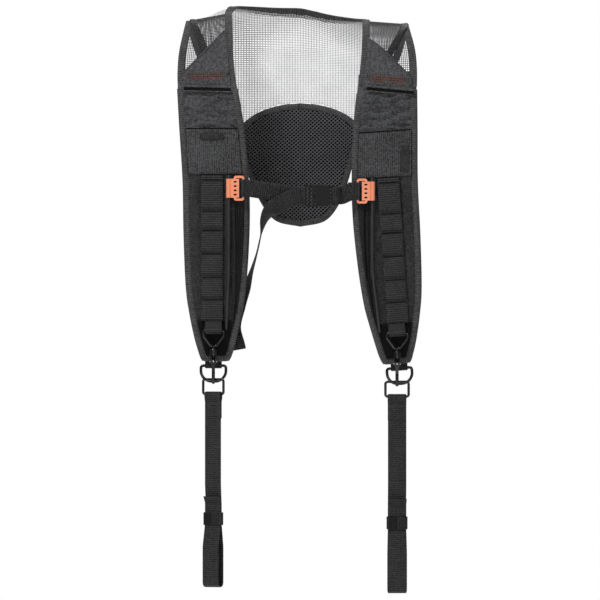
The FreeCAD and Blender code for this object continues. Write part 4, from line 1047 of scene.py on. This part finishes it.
def yoke_panel(side, tag):
    obj = relax(panel("yoke_panel_" + tag, lambda s, t: patch_point(side, s, t), 34, 30, 1.3, PATCH))
    dress(obj, PATCH, "yoke_patch_" + tag)

    seams = Pile()
    for inset in (0.035, 0.065):
        lane = [patch_point(side, s / 40, inset) for s in range(41)]
        stitch_run(seams, [p + n * 0.55 for p, n in lane], [n for p, n in lane])
    seams.piece("yoke_panel_stitches_" + tag, THREAD, shape=relax)

    # a folded selvedge on the slanted line
    hem = Pile()
    line = [patch_point(side, s / 40, 0.0) for s in range(41)]
    tube(hem, [p + n * 0.2 for p, n in line], 1.15, sides=8)
    hem.piece("yoke_hem_" + tag, PATCH, shape=relax)

    # a webbing band across the lower part, held by rows of dull orange stitches
    band = Pile()
    middle = []
    for k in range(41):
        x = 161.0 - SHOULDER_IN[side] - 60.0 * k / 40
        z = BAND_AT[side] - (0.0 if side < 0 else 5.0 * (1 - k / 40))
        p, n = form(x, -run_at(x, z))
        middle.append((Vector((side * p.x, p.y - PATCH_AHEAD * blend_step(-z, 45.0, 94.0) - 1.6, z)), n))
    ribbon(band, [p for p, n in middle], UP, 17.0, 1.2)
    band.piece("yoke_band_" + tag, TAPE, shape=relax)
    orange = Pile()
    for lift in (6.0, 2.6, -0.8):
        lane = [p + Vector((0, -0.75, lift)) for p, n in middle[5:36]]
        stitch_run(orange, lane, length=2.6, gap=1.4, radius=0.34)
        zigzag = resample(lane, 1.7)
        for k in range(len(zigzag) - 1):
            turn = UP * (0.9 if k % 2 else -0.9)
            a, b = zigzag[k] + turn, zigzag[k + 1] - turn
            tube(orange, [a, a.lerp(b, 0.5) + FRONT * 0.2, b], 0.2, sides=5, hint=FRONT)
    orange.piece("yoke_bartack_" + tag, THREAD_ORANGE, shape=relax)


BAND_AT = {-1: -80.5, 1: -83.0}


def slot_band(side, tag):
    """The double line where the yoke patch ends over the pad: a turned hem with an open slot above it. The slot is a
    near-black strip, painted shade for the shadow inside it.
    """
    hem = Pile()
    gap = Pile()

    def lane(z, lift):
        line = []
        for k in range(41):
            share = k / 40
            x = 163.5 - SHOULDER_IN[side] * 0.5 - 66.0 * share
            slope = -1.5 * share if side < 0 else -6.0 * (1 - share)
            line.append(Vector((side * x, FACE_Y - 0.6 - lift, z + slope)))
        return line

    tube(hem, lane(-92.6, 0.7), 1.3, sides=8)
    tube(hem, lane(-99.0, 0.1), 1.1, sides=8)
    # a near-black strip stands in for the inside of the slot, as painted shade
    ribbon(gap, lane(-95.9, 0.3), UP, 5.6, 0.8)
    hem.piece("slot_hem_" + tag, PATCH)
    gap.piece("slot_painted_shade_" + tag, DARK)


def stabiliser(side, tag):
    start = Vector((151.0 if side < 0 else 146.0, -3.0))
    end = Vector((131.0 - SHOULDER_IN[side], -46.0 - SLANT_DROP[side]))
    points = []
    for k in range(25):
        x, z = start.lerp(end, k / 24)
        run = run_at(x, z) if k else 10.0
        p, n = form(x, -run, 1.5)
        points.append(mirrored(p, side))
    pile = Pile()
    ribbon(pile, points, ACROSS, 9.2, 1.5)
    pile.piece("stabiliser_" + tag, WEB, "stabiliser_webbing_" + tag, shape=relax)


# ---------------------------------------------------------------- chest sleeve and label
def chest_sleeve(side, tag):
    """Ribbed sleeve across the pad, a little full, hemmed above and below."""
    high = SLEEVE_HIGH.z if side < 0 else PAD_TOP - 56.6
    low = high - 63.0

    def place(s, t):
        z = high + (low - high) * t
        outer = x_at(OUTER, z) - 8.3
        inner = x_at(INNER, z) + 8.3
        x = outer + (inner - outer) * s
        full = hump(s, 0.5) * hump(t, 0.6) if 0 < s < 1 and 0 < t < 1 else 0.0
        fold = 0.5 * noise.noise(Vector((x * 0.06, z * 0.09, side * 4.0)))
        lift = 0.9 + full * (1.1 + fold)
        return Vector((side * x, FACE_Y - lift, z)), FRONT

    obj = panel("ribbed_sleeve_" + tag, place, 40, 40, 1.2, RIBBED, lean_matrix(side))
    dress(obj, RIBBED, "chest_sleeve_" + tag)
    seams = Pile()
    for t in (0.045, 0.955):
        lane = [place(s / 40, t)[0] + Vector((0, -0.55, 0)) for s in range(41)]
        stitch_run(seams, lane)
    seams.piece("ribbed_sleeve_stitches_" + tag, THREAD, matrix=lean_matrix(side))

    # a near-black strip along the sleeve's upper hem, as painted shadow under the hem
    shadow = Pile()
    hem = [place(s / 20, 0.0)[0] + Vector((0, -0.5, 0.7)) for s in range(21)]
    ribbon(shadow, hem, UP, 2.0, 0.7)
    shadow.piece("sleeve_hem_painted_shadow_" + tag, DARK, matrix=lean_matrix(side))

    low_box, high_box = box_mm("label_" + tag)
    middle = (low_box + high_box) / 2
    wide = high_box.x - low_box.x
    tall = high_box.z - low_box.z
    tag_pile = Pile()
    y = low_box.y - 1.2
    if side < 0:
        line = [Vector((middle.x - wide / 2 + wide * k / 8, y - 0.25 * math.sin(math.pi * k / 8), middle.z))
                for k in range(9)]
        ribbon(tag_pile, line, UP, tall, 0.7)
    else:
        line = [Vector((middle.x, y - 0.25 * math.sin(math.pi * k / 8), middle.z - tall / 2 + tall * k / 8))
                for k in range(9)]
        ribbon(tag_pile, line, ACROSS, wide, 0.7)
    tag_pile.piece("blank_label_" + tag, LABEL, "label_" + tag)


# ---------------------------------------------------------------- daisy chain, rail, end tab
SEAMS = [-224.0, -267.4, -294.7, -327.6, -360.5, -392.0, -420.0]
DAISY_X = 124.0
RAIL_X = 100.5
CLIP_CLEAR = 96.2       # nothing stands proud of the pad between here and the daisy chain, for the slider's clip
CHAIN_X = 122.0
CHAIN_Y = -75.0
BAR_Z = -435.0


def daisy(side, tag):
    """Webbing sewn down at intervals; its last fold carries the hook's eye."""
    down = FACE_Y - 1.1
    up = FACE_Y - 3.5
    x = side * DAISY_X
    points = [(x, down, -217.5)]
    for high, low in zip(SEAMS, SEAMS[1:]):
        points += [(x, down, high - 1), (x, up, high - 6), (x, up, low + 6), (x, down, low + 1)]
    points = points[:-2] + [(x, up, SEAMS[-1] - 1)]
    upper = Pile()
    ribbon(upper, resample(fillet(points, 4.0), 2.0), ACROSS, DAISY_WIDE, 1.7)
    matrix = lean_matrix(side)
    upper.piece("daisy_band_" + tag, WEB, "daisy_webbing_" + tag, matrix=matrix)
    loop = 3.9
    x = side * CHAIN_X
    fold = [(x, up, SEAMS[-1] + 4), (x, up, -423.0), (x, CHAIN_Y - loop, -432.0), (x, CHAIN_Y - loop, BAR_Z - loop),
            (x, CHAIN_Y + loop, BAR_Z - loop), (x, CHAIN_Y + loop, -433.0), (x, down, -428.5), (x, down, -422.5)]
    radii = [0, 4.0, 3.5, loop, loop, 2.6, 2.6, 0]
    lower = Pile()
    ribbon(lower, fillet(fold, radii, 9.0), ACROSS, 23.6, 1.6)
    lower.piece("daisy_fold_" + tag, WEB, matrix=matrix)

    # the bar tacks at the seams are real stitches made near-black, as painted shade for the shadow where the loops
    # dip to the pad
    bars = Pile()
    for z in SEAMS[:-1]:
        for row in (-0.5, 0.5):
            count = 24
            for k in range(count):
                a = -DAISY_WIDE / 2 + 1.5 + (DAISY_WIDE - 3.0) * k / count
                b = a + (DAISY_WIDE - 3.0) / count
                tilt = 0.4 if k % 2 else -0.4
                p = Vector((side * DAISY_X + a, down - 0.85, z + row - tilt))
                q = Vector((side * DAISY_X + b, down - 0.85, z + row + tilt))
                tube(bars, [p, p.lerp(q, 0.5) + Vector((0, -0.35, 0)), q], 0.27, sides=5, hint=FRONT)
    bars.piece("daisy_bars_painted_shade_" + tag, DARK, matrix=matrix)


def rail(side, tag):
    """Round piping on a sewn flange. It stays straight where the slider runs."""
    drop = 0.0 if side < 0 else box_mm("slider_rail_left")[1].z - box_mm("slider_rail_right")[1].z
    x = side * RAIL_X
    top = box_mm("slider_rail_" + tag)[1].z
    y = FACE_Y - 4.2
    end = side * (104.0 if side < 0 else 111.0)
    run = fillet([(x, y, top), (x, y, -348.0 - drop), (end, y, -434.0 - drop)], 300.0, 2.0)
    cord = Pile()
    tube(cord, resample(run, 3.0), 1.72, sides=12)
    flange = [p + Vector((0, 2.4, 0)) for p in resample(run, 3.0)]
    rings = [[p + Vector((-0.45, -1.5, 0)), p + Vector((0.45, -1.5, 0)), p + Vector((0.55, 1.5, 0)),
              p + Vector((4.6, 1.7, 0)), p + Vector((4.6, 2.0, 0)), p + Vector((-4.6, 2.0, 0)),
              p + Vector((-4.6, 1.7, 0)), p + Vector((-0.55, 1.5, 0))] for p in flange]
    cord.rings(rings)
    cord.piece("rail_cord_" + tag, PIPING, "slider_rail_" + tag)
    seams = Pile()
    for off in (-3.2, 3.2):
        stitch_run(seams, [p + Vector((off, 1.5, 0)) for p in flange])
    seams.piece("rail_stitches_" + tag, THREAD)


def pocket(side, tag):
    """Loose darker panel between the rail and the inner binding, with one long slanting fold. Its near-black cloth is
    partly its own dark tone and partly painted shade for the side that turns away from the light.
    """
    def place(s, t):
        z = -224.0 - 206.0 * t
        outer = CLIP_CLEAR
        if side > 0:       # this panel leans outward and the rail doesn't, as far as the clip runs
            outer -= math.tan(LEAN) * max(0.0, -z + LEAN_PIVOT[1]) * (1 - blend_step(-z, 353.0, 368.0))
        inner = x_at(INNER, z) + 8.0
        x = outer + (inner - outer) * s
        edge = hump(s, 0.6) * hump(t, 0.3)
        fold = 0.30 + 0.45 * t
        lift = 1.0 + edge * (1.1 - 2.3 * math.exp(-((s - fold) / 0.10) ** 2)
                             + 1.3 * math.exp(-((s - fold - 0.17) / 0.11) ** 2)
                             + 0.7 * noise.noise(Vector((x * 0.07, z * 0.045, side * 9.0))))
        return Vector((side * x, FACE_Y - max(0.35, lift), z)), FRONT

    obj = panel("pocket_panel_" + tag, place, 26, 70, 0.9, POCKET, lean_matrix(side))
    dress(obj, POCKET)


def end_patch(side, tag):
    """Black reinforcement sewn over the pad's lower end, under the hook."""
    def place(s, t):
        z = -421.0 - 48.5 * t
        outer = x_at(OUTER, z) - 8.6
        inner = x_at(INNER, z) + 8.6
        return Vector((side * (outer + (inner - outer) * s), FACE_Y - 0.7, z)), FRONT

    obj = panel("end_patch_" + tag, place, 12, 16, 0.7, DARK, lean_matrix(side))
    dress(obj, DARK)


def end_tab(side, tag):
    x = side * CHAIN_X
    y, z, loop = -47.0, -484.0, 3.0
    path = fillet([(x, y - loop, -450.0), (x, y - loop, z - loop), (x, y + loop, z - loop), (x, y + loop, -474.0)],
                  loop, 9.0)
    pile = Pile()
    ribbon(pile, path, ACROSS, 23.6, 1.6)
    pile.piece("end_fold_" + tag, WEB, "end_tab_" + tag, matrix=lean_matrix(side))


# ---------------------------------------------------------------- sternum straps
SLIDER_Z = {-1: -235.5, 1: -239.5}
SLIDER_BAR = 20.0       # the webbing bar stands this far inward of the rail
BAR_Y = -70.8
BUCKLE = Vector((20.0, -76.0, -246.0))
STERNUM_THICK = 1.6
TAIL = [
    # middle of the strip, and the direction of its width
    ((0.6, -82.6, -246.0), (0.0, 0.0, 1.0)),
    ((-14.0, -84.0, -250.0), (0.1, 0.0, 1.0)),
    ((-36.0, -83.0, -262.0), (-0.45, -0.3, 0.9)),
    ((-49.0, -76.0, -277.0), (-0.45, -1.0, 0.4)),
    ((-55.0, -69.0, -300.0), (0.0, -1.0, 0.1)),
    ((-61.5, -60.0, -328.0), (0.05, -1.0, 0.0)),
    ((-68.5, -50.0, -352.0), (0.2, -1.0, 0.0)),
    ((-76.0, -45.0, -376.0), (0.55, -0.9, 0.0)),
    ((-87.0, -42.5, -402.0), (0.85, -0.55, 0.0)),
    ((-93.0, -43.0, -432.0), (0.8, -0.55, 0.1)),
    ((-88.0, -44.0, -462.0), (1.0, 0.0, 0.2)),
]


def sternum():
    for side, tag in SIDES:
        bar_x = side * (RAIL_X - SLIDER_BAR)
        level = SLIDER_Z[side]
        inward = -side
        loop = 1.5 + 0.2 + STERNUM_THICK / 2
        round_bar = [(bar_x + inward * 14.0, BAR_Y + 0.95, level), (bar_x + inward * 4.5, BAR_Y + 0.95, level),
                     (bar_x + inward * 1.0, BAR_Y + loop, level), (bar_x - inward * loop, BAR_Y + loop, level),
                     (bar_x - inward * loop, BAR_Y - loop, level), (bar_x + inward * 1.0, BAR_Y - loop, level),
                     (bar_x + inward * 4.5, BAR_Y - 0.95, level), (bar_x + inward * 9.0, BAR_Y - 0.95, level)]
        radii = [0, 2.5, 2.5, loop, loop, 2.5, 2.5, 0]
        run_y = BAR_Y - 0.95
        if side < 0:
            target = 5.4 - 9.6
            far = [(target, run_y, BUCKLE.z), (target + 4.9, BUCKLE.y + 4.4, BUCKLE.z),
                   (target + 9.6, BUCKLE.y + 4.4, BUCKLE.z), (target + 9.6, BUCKLE.y - 4.3, BUCKLE.z),
                   (target - 6.0, BUCKLE.y - 4.3, BUCKLE.z)]
            far_radii = [3.0, 3.0, 1.0, 1.0, 0]
        else:
            slot, beyond = 43.8, 51.6
            far = [(beyond + 6.0, run_y, BUCKLE.z), (beyond, BUCKLE.y - 5.0, BUCKLE.z),
                   (slot, BUCKLE.y - 5.0, BUCKLE.z), (slot, BUCKLE.y + 5.0, BUCKLE.z),
                   (beyond + 0.8, BUCKLE.y + 5.0, BUCKLE.z)]
            far_radii = [3.0, 1.2, 1.5, 1.5, 0]
        path = fillet(round_bar[:-1] + [round_bar[-1]] + far, radii[:-1] + [20.0] + far_radii, 10.0)
        pile = Pile()
        ribbon(pile, refine(path, 6.0), UP, STERNUM_WIDE, STERNUM_THICK)
        body = "slider_" + tag
        pile.piece("sternum_strap_" + tag, WEB, "sternum_webbing_" + tag, body=body)
        # the sewn box that closes the loop round the slider's bar
        box_pile = Pile()
        a = bar_x + inward * 5.5
        b = bar_x + inward * 13.0
        y = run_y - STERNUM_THICK / 2
        half = STERNUM_WIDE / 2 - 2.5
        stitch_box(box_pile, a, b, y, level - half, level + half)
        box_pile.piece("sternum_stitches_" + tag, THREAD, body=body)


def refine(points, most):
    """Adds points so that no run is longer than most."""
    out = [points[0]]
    for a, b in zip(points, points[1:]):
        count = max(1, math.ceil((b - a).length / most))
        for k in range(1, count + 1):
            out.append(a.lerp(b, k / count))
    return out


def sternum_tail():
    centre = catmull([p for p, w in TAIL], 10)
    across = [w.normalized() for w in catmull([w for p, w in TAIL], 10)]
    pile = Pile()
    ribbon(pile, centre, across, STERNUM_WIDE - 0.8, STERNUM_THICK)
    # the end is folded twice and sewn, so it is thicker
    last = centre[-8:]
    tip = across[-8:]
    ribbon(pile, [p + Vector((0, -1.5, 0)) for p in last], tip, STERNUM_WIDE - 1.6, STERNUM_THICK)
    pile.piece("sternum_tail_strap", WEB, "sternum_tail", body="slider_left")


# ---------------------------------------------------------------- lower straps
TWIST = {-1: -30.0, 1: 8.0}
RING_LOW = -88.7
STRAP_THICK = 1.8


def chain_matrix(side):
    top = Vector((side * CHAIN_X, CHAIN_Y, BAR_Z))
    top = lean_matrix(side) @ top
    return Matrix.Translation(top) @ Matrix.Rotation(math.radians(TWIST[side]), 4, "Z")


def lower_strap(side, tag):
    loop = 1.8 + 0.1 + STRAP_THICK / 2
    low = RING_LOW
    layer = STRAP_THICK / 2 + 0.1
    longer = 0.0 if side < 0 else -5.0
    bottom = -359.0 + longer + STRAP_THICK / 2
    keeper = -254.0
    points = [(layer, low - 34.0), (layer, low - 11.0), (loop, low - 4.5), (loop, low + loop), (-loop, low + loop),
              (-loop, low - 4.5), (-layer, low - 11.0), (-layer, -215.0), (layer, keeper + 10),
              (layer, keeper - 16 + longer), (5.7, -302.0 + longer), (5.7, bottom), (-7.6, bottom),
              (-7.6, -302.0 + longer), (-layer, keeper - 16 + longer), (-layer, -241.0), (-layer - 4.6, -232.0)]
    radii = [0, 4.0, 4.0, loop, loop, 4.0, 4.0, 18.0, 18.0, 30.0, 30.0, 6.0, 6.0, 30.0, 30.0, 6.0, 0]
    path = fillet([(0, y, z) for y, z in points], radii, 9.0)
    pile = Pile()
    ribbon(pile, refine(path, 8.0), ACROSS, STRAP_WIDE, STRAP_THICK)
    matrix = chain_matrix(side)
    pile.piece("long_strap_" + tag, WEB, "lower_strap_" + tag, body="strap_" + tag, matrix=matrix)

    seams = Pile()
    half = STRAP_WIDE / 2 - 2.2
    y = -layer - STRAP_THICK / 2
    stitch_box(seams, -half, half, y, low - 33.0, low - 13.0)
    for z in (-205.0, -209.0):
        stitch_run(seams, [Vector((-half, y, z)), Vector((half, y, z))])
    seams.piece("long_strap_stitches_" + tag, THREAD, body="strap_" + tag, matrix=matrix)

    band = Pile()
    level = keeper - 9.0 + longer / 2
    half_x = STRAP_WIDE / 2 + 1.0
    half_y = 3.5
    ring = fillet([(0, -half_y, 0), (half_x, -half_y, 0), (half_x, half_y, 0), (-half_x, half_y, 0),
                   (-half_x, -half_y, 0), (0, -half_y, 0)], 1.5, 15.0)[:-1]
    ribbon(band, [p + Vector((0, 0, level)) for p in ring], UP, 18.0, 1.2, closed=True)
    band.piece("keeper_band_" + tag, BAND, "loop_keeper_" + tag, body="keeper_" + tag, matrix=matrix)


# ---------------------------------------------------------------- back pad
def back_outline():
    """The back pad's outline, right half then left half, from the top middle."""
    top = [Vector((p[0], 0, p[1])) for p in B_TOP]
    side = [Vector((p[0], 0, p[1])) for p in B_SIDE]
    right = resample(top, 4.0)[:-1] + resample(side, 4.0)
    left = [Vector((-p.x, 0, p.z)) for p in right[::-1][1:-1]]
    return right + left


def back_inside(x, z):
    """Distance in from the back pad's nearest edge, less than 0 outside."""
    x = abs(x)
    best = 1e9
    for line in (B_TOP, B_SIDE):
        for a, b in zip(line, line[1:]):
            ab = b - a
            t = max(0.0, min(1.0, (Vector((x, z)) - a).dot(ab) / max(1e-9, ab.dot(ab))))
            best = min(best, (a + ab * t - Vector((x, z))).length)
    above = z > height_of_back_top(x)
    outside = above or x > x_at(B_SIDE, z) or z < BACK_SIDE[-1][1]
    return -best if outside else best


def reach_left(obj):
    """Half way down, the back pad reaches a little further behind the left shoulder pad."""
    for v in obj.data.vertices:
        if v.co.x < 0:
            level = math.exp(-((v.co.z / MM + 195.0) / 34.0) ** 2)
            v.co.x -= 7.0 * MM * level * min(1.0, -v.co.x / (60.0 * MM))
    return obj


def back_surface(x, z, sign):
    """Depth of the back pad's front (-1) or back (1) face at a point inside its outline."""
    front, back = BACK_LOW.y - 1.8, BACK_HIGH.y + 1.8
    t = min(1.0, max(0.0, back_inside(x, z)) / 22.0)
    crown = 1 - (1 - t) ** 2
    return (front + back) / 2 + sign * (2.6 + ((back - front) / 2 - 2.6) * crown)


def back_pad():
    """Padded panel between the shoulders, with crossing cords of spacer mesh on both faces and a taped rim."""
    outline = back_outline()
    count = len(outline)
    centre = Vector((0, 0, -190.0))
    levels = [1.0, 0.985, 0.955, 0.9, 0.82, 0.7, 0.55, 0.38, 0.2, 0.06]
    verts = []
    faces = []
    for sign in (-1, 1):
        for level in levels:
            for p in outline:
                q = centre.lerp(p, level)
                verts.append((q.x, back_surface(q.x, q.z, sign), q.z))
    rings = len(levels)
    for s in range(2):
        base = s * rings * count
        for r in range(rings - 1):
            for k in range(count):
                m = (k + 1) % count
                quad = (base + r * count + k, base + r * count + m, base + (r + 1) * count + m,
                        base + (r + 1) * count + k)
                faces.append(quad if s else quad[::-1])
        last = tuple(base + (rings - 1) * count + k for k in range(count))
        faces.append(last if s else last[::-1])
    for k in range(count):
        m = (k + 1) % count
        faces.append((k, m, rings * count + m, rings * count + k))
    obj = new_piece("back_cushion", verts, faces, AIR)
    tidy_normals(obj)
    dress(reach_left(obj), AIR, "back_pad_face", "back_pad_foam", "back_pad_shell")

    # spacer mesh: cords crossing on the slant over both faces, lighter than the black cushion as painted highlight
    lattice = Pile()
    for sign in (-1, 1):
        for slope in (-1, 1):
            offset = -330.0
            while offset < 330.0:
                line = []
                for k in range(120):
                    x = -100.0 + 200.0 * k / 119
                    z = -200.0 + slope * x * 0.9 + offset
                    if back_inside(x, z) > 7.5 and -290.0 < z < -110.0:
                        y = back_surface(x, z, sign) + sign * 0.15
                        line.append(Vector((x, y, z)))
                    else:
                        if len(line) > 2:
                            tube(lattice, line, 0.6, sides=4)
                        line = []
                if len(line) > 2:
                    tube(lattice, line, 0.6, sides=4)
                offset += 5.2
    lattice.piece("back_lattice", LATTICE, shape=reach_left)

    # the rim: tape folded over the pad's edge
    rim = Pile()
    lip = 8.0
    middle = (BACK_LOW.y + BACK_HIGH.y) / 2
    half = 3.1
    profile = [(-lip, -half - 1.7), (-lip + 0.9, -half - 2.4), (-3.0, -half - 1.8), (-0.2, -half - 0.3),
               (1.0, -half * 0.4), (1.0, half * 0.4), (-0.2, half + 0.3), (-3.0, half + 1.8),
               (-lip + 0.9, half + 2.4), (-lip, half + 1.7), (-3.0, half + 0.7), (-1.0, half - 0.6),
               (-1.0, -half + 0.6), (-3.0, -half - 0.7)]
    around = [0.0]
    for a, b in zip(profile, profile[1:]):
        around.append(around[-1] + math.dist(a, b))
    outward = []
    for p, t in zip(outline, tangents(outline, True)):
        n = Vector((-t.z, 0, t.x))
        outward.append(n if n.dot(p - centre) >= 0 else -n)

    def ring_at(i):
        return [outline[i] + outward[i] * out + Vector((0, middle + y, 0)) for out, y in profile], around

    rings, uvs = swept(outline, ring_at)
    rim.rings(rings, closed=True, uvs=uvs)
    tidy_normals(rim.piece("back_rim", TAPE, "back_pad_binding", shape=reach_left))
    seams = Pile()
    for sign in (-1, 1):
        lane = [p - n * 6.4 + Vector((0, middle + sign * (half + 2.3), 0)) for p, n in zip(outline, outward)]
        stitch_run(seams, lane + [lane[0]], Vector((0, sign, 0)))
    seams.piece("back_rim_stitches", THREAD, shape=reach_left)


# ---------------------------------------------------------------- camera, light and floor
AMBIENT = 0.30      # how much of the white surround lights the object


def studio():
    scene = bpy.context.scene
    camera = bpy.data.cameras.new("camera")
    holder = bpy.data.objects.new("camera", camera)
    scene.collection.objects.link(holder)
    distance = 24.0
    wide = 0.840
    camera.sensor_width = 36.0
    camera.lens = 36.0 * distance / wide
    camera.clip_end = 100.0
    holder.location = (-0.0007, -distance - 0.07, -0.392)
    holder.rotation_euler = (math.pi / 2, 0, 0)
    scene.camera = holder

    # the camera sees a plain white surround, and a dimmer one lights the object
    world = bpy.data.worlds.new("studio")
    world.use_nodes = True
    nodes, links = world.node_tree.nodes, world.node_tree.links
    both = nodes.new("ShaderNodeMixShader")
    links.new(nodes.new("ShaderNodeLightPath").outputs["Is Camera Ray"], both.inputs[0])
    plain = nodes.new("ShaderNodeBackground")
    for place, (shade, strength) in enumerate(((nodes["Background"], AMBIENT), (plain, 1.0)), start=1):
        shade.inputs["Color"].default_value = (1, 1, 1, 1)
        shade.inputs["Strength"].default_value = strength
        links.new(shade.outputs[0], both.inputs[place])
    links.new(both.outputs[0], nodes["World Output"].inputs["Surface"])
    scene.world = world
    scene.view_settings.view_transform = "Standard"

    # place, point aimed at, size in metres and power in watts
    lamps = {
        "key": ((-0.8, -1.05, 1.65), (0, 0, -0.35), 0.6, 50.0),
        "front": ((0.5, -2.6, -0.3), (0, 0, -0.3), 1.3, 6.0),
        "side": ((1.9, -1.2, 0.3), (0, 0, -0.4), 0.8, 9.0),
        "low": ((-0.6, -1.6, -1.0), (0, 0, -0.6), 0.8, 5.0),
        "back": ((0.5, 2.0, 1.2), (0, 0, -0.3), 1.0, 16.0),
    }
    for name, (place, aim, size, power) in lamps.items():
        data = bpy.data.lights.new(name, "AREA")
        data.shape = "DISK"
        data.size = size
        data.energy = power
        obj = bpy.data.objects.new(name, data)
        scene.collection.objects.link(obj)
        obj.location = place
        obj.rotation_euler = (Vector(aim) - Vector(place)).to_track_quat("-Z", "Y").to_euler()

    disc = bpy.data.meshes.new("floor")
    work = bmesh.new()
    bmesh.ops.create_circle(work, cap_ends=True, radius=1.25, segments=96)
    work.to_mesh(disc)
    work.free()
    floor = bpy.data.objects.new("floor", disc)
    floor.location = (0, 0, -1.06)
    scene.collection.objects.link(floor)
    pale = bpy.data.materials.new("pale_floor")
    pale.use_nodes = True
    for socket, value in (("Base Color", (0.9, 0.9, 0.9, 1)), ("Roughness", 0.8),
                          ("Emission Color", (1, 1, 1, 1)), ("Emission Strength", 0.3)):
        pale.node_tree.nodes["Principled BSDF"].inputs[socket].default_value = value
    disc.materials.append(pale)


# ---------------------------------------------------------------- make everything
studio()
for SIDE, TAG in SIDES:
    pad_body(SIDE, TAG)
    pad_tape(SIDE, TAG)
    arm_tape(SIDE, TAG)
    shoulder_net(SIDE, TAG)
    yoke_panel(SIDE, TAG)
    slot_band(SIDE, TAG)
    stabiliser(SIDE, TAG)
    chest_sleeve(SIDE, TAG)
    daisy(SIDE, TAG)
    rail(SIDE, TAG)
    pocket(SIDE, TAG)
    end_patch(SIDE, TAG)
    end_tab(SIDE, TAG)
    lower_strap(SIDE, TAG)
    dress_node("sternum_slider_" + TAG, ORANGE)
    for part in ("end_ring_", "hook_eye_", "hook_body_", "hook_gate_", "strap_ring_"):
        dress_node(part + TAG, METAL)
    for part in ("gate_pin_", "gate_spring_"):
        dress_node(part + TAG, STEEL)
neck_tape()
back_net()
back_pad()
sternum()
sternum_tail()
for part in ("buckle_female", "buckle_male", "buckle_prong_upper", "buckle_prong_lower"):
    dress_node(part, PLASTIC)

bpy.context.view_layer.update()
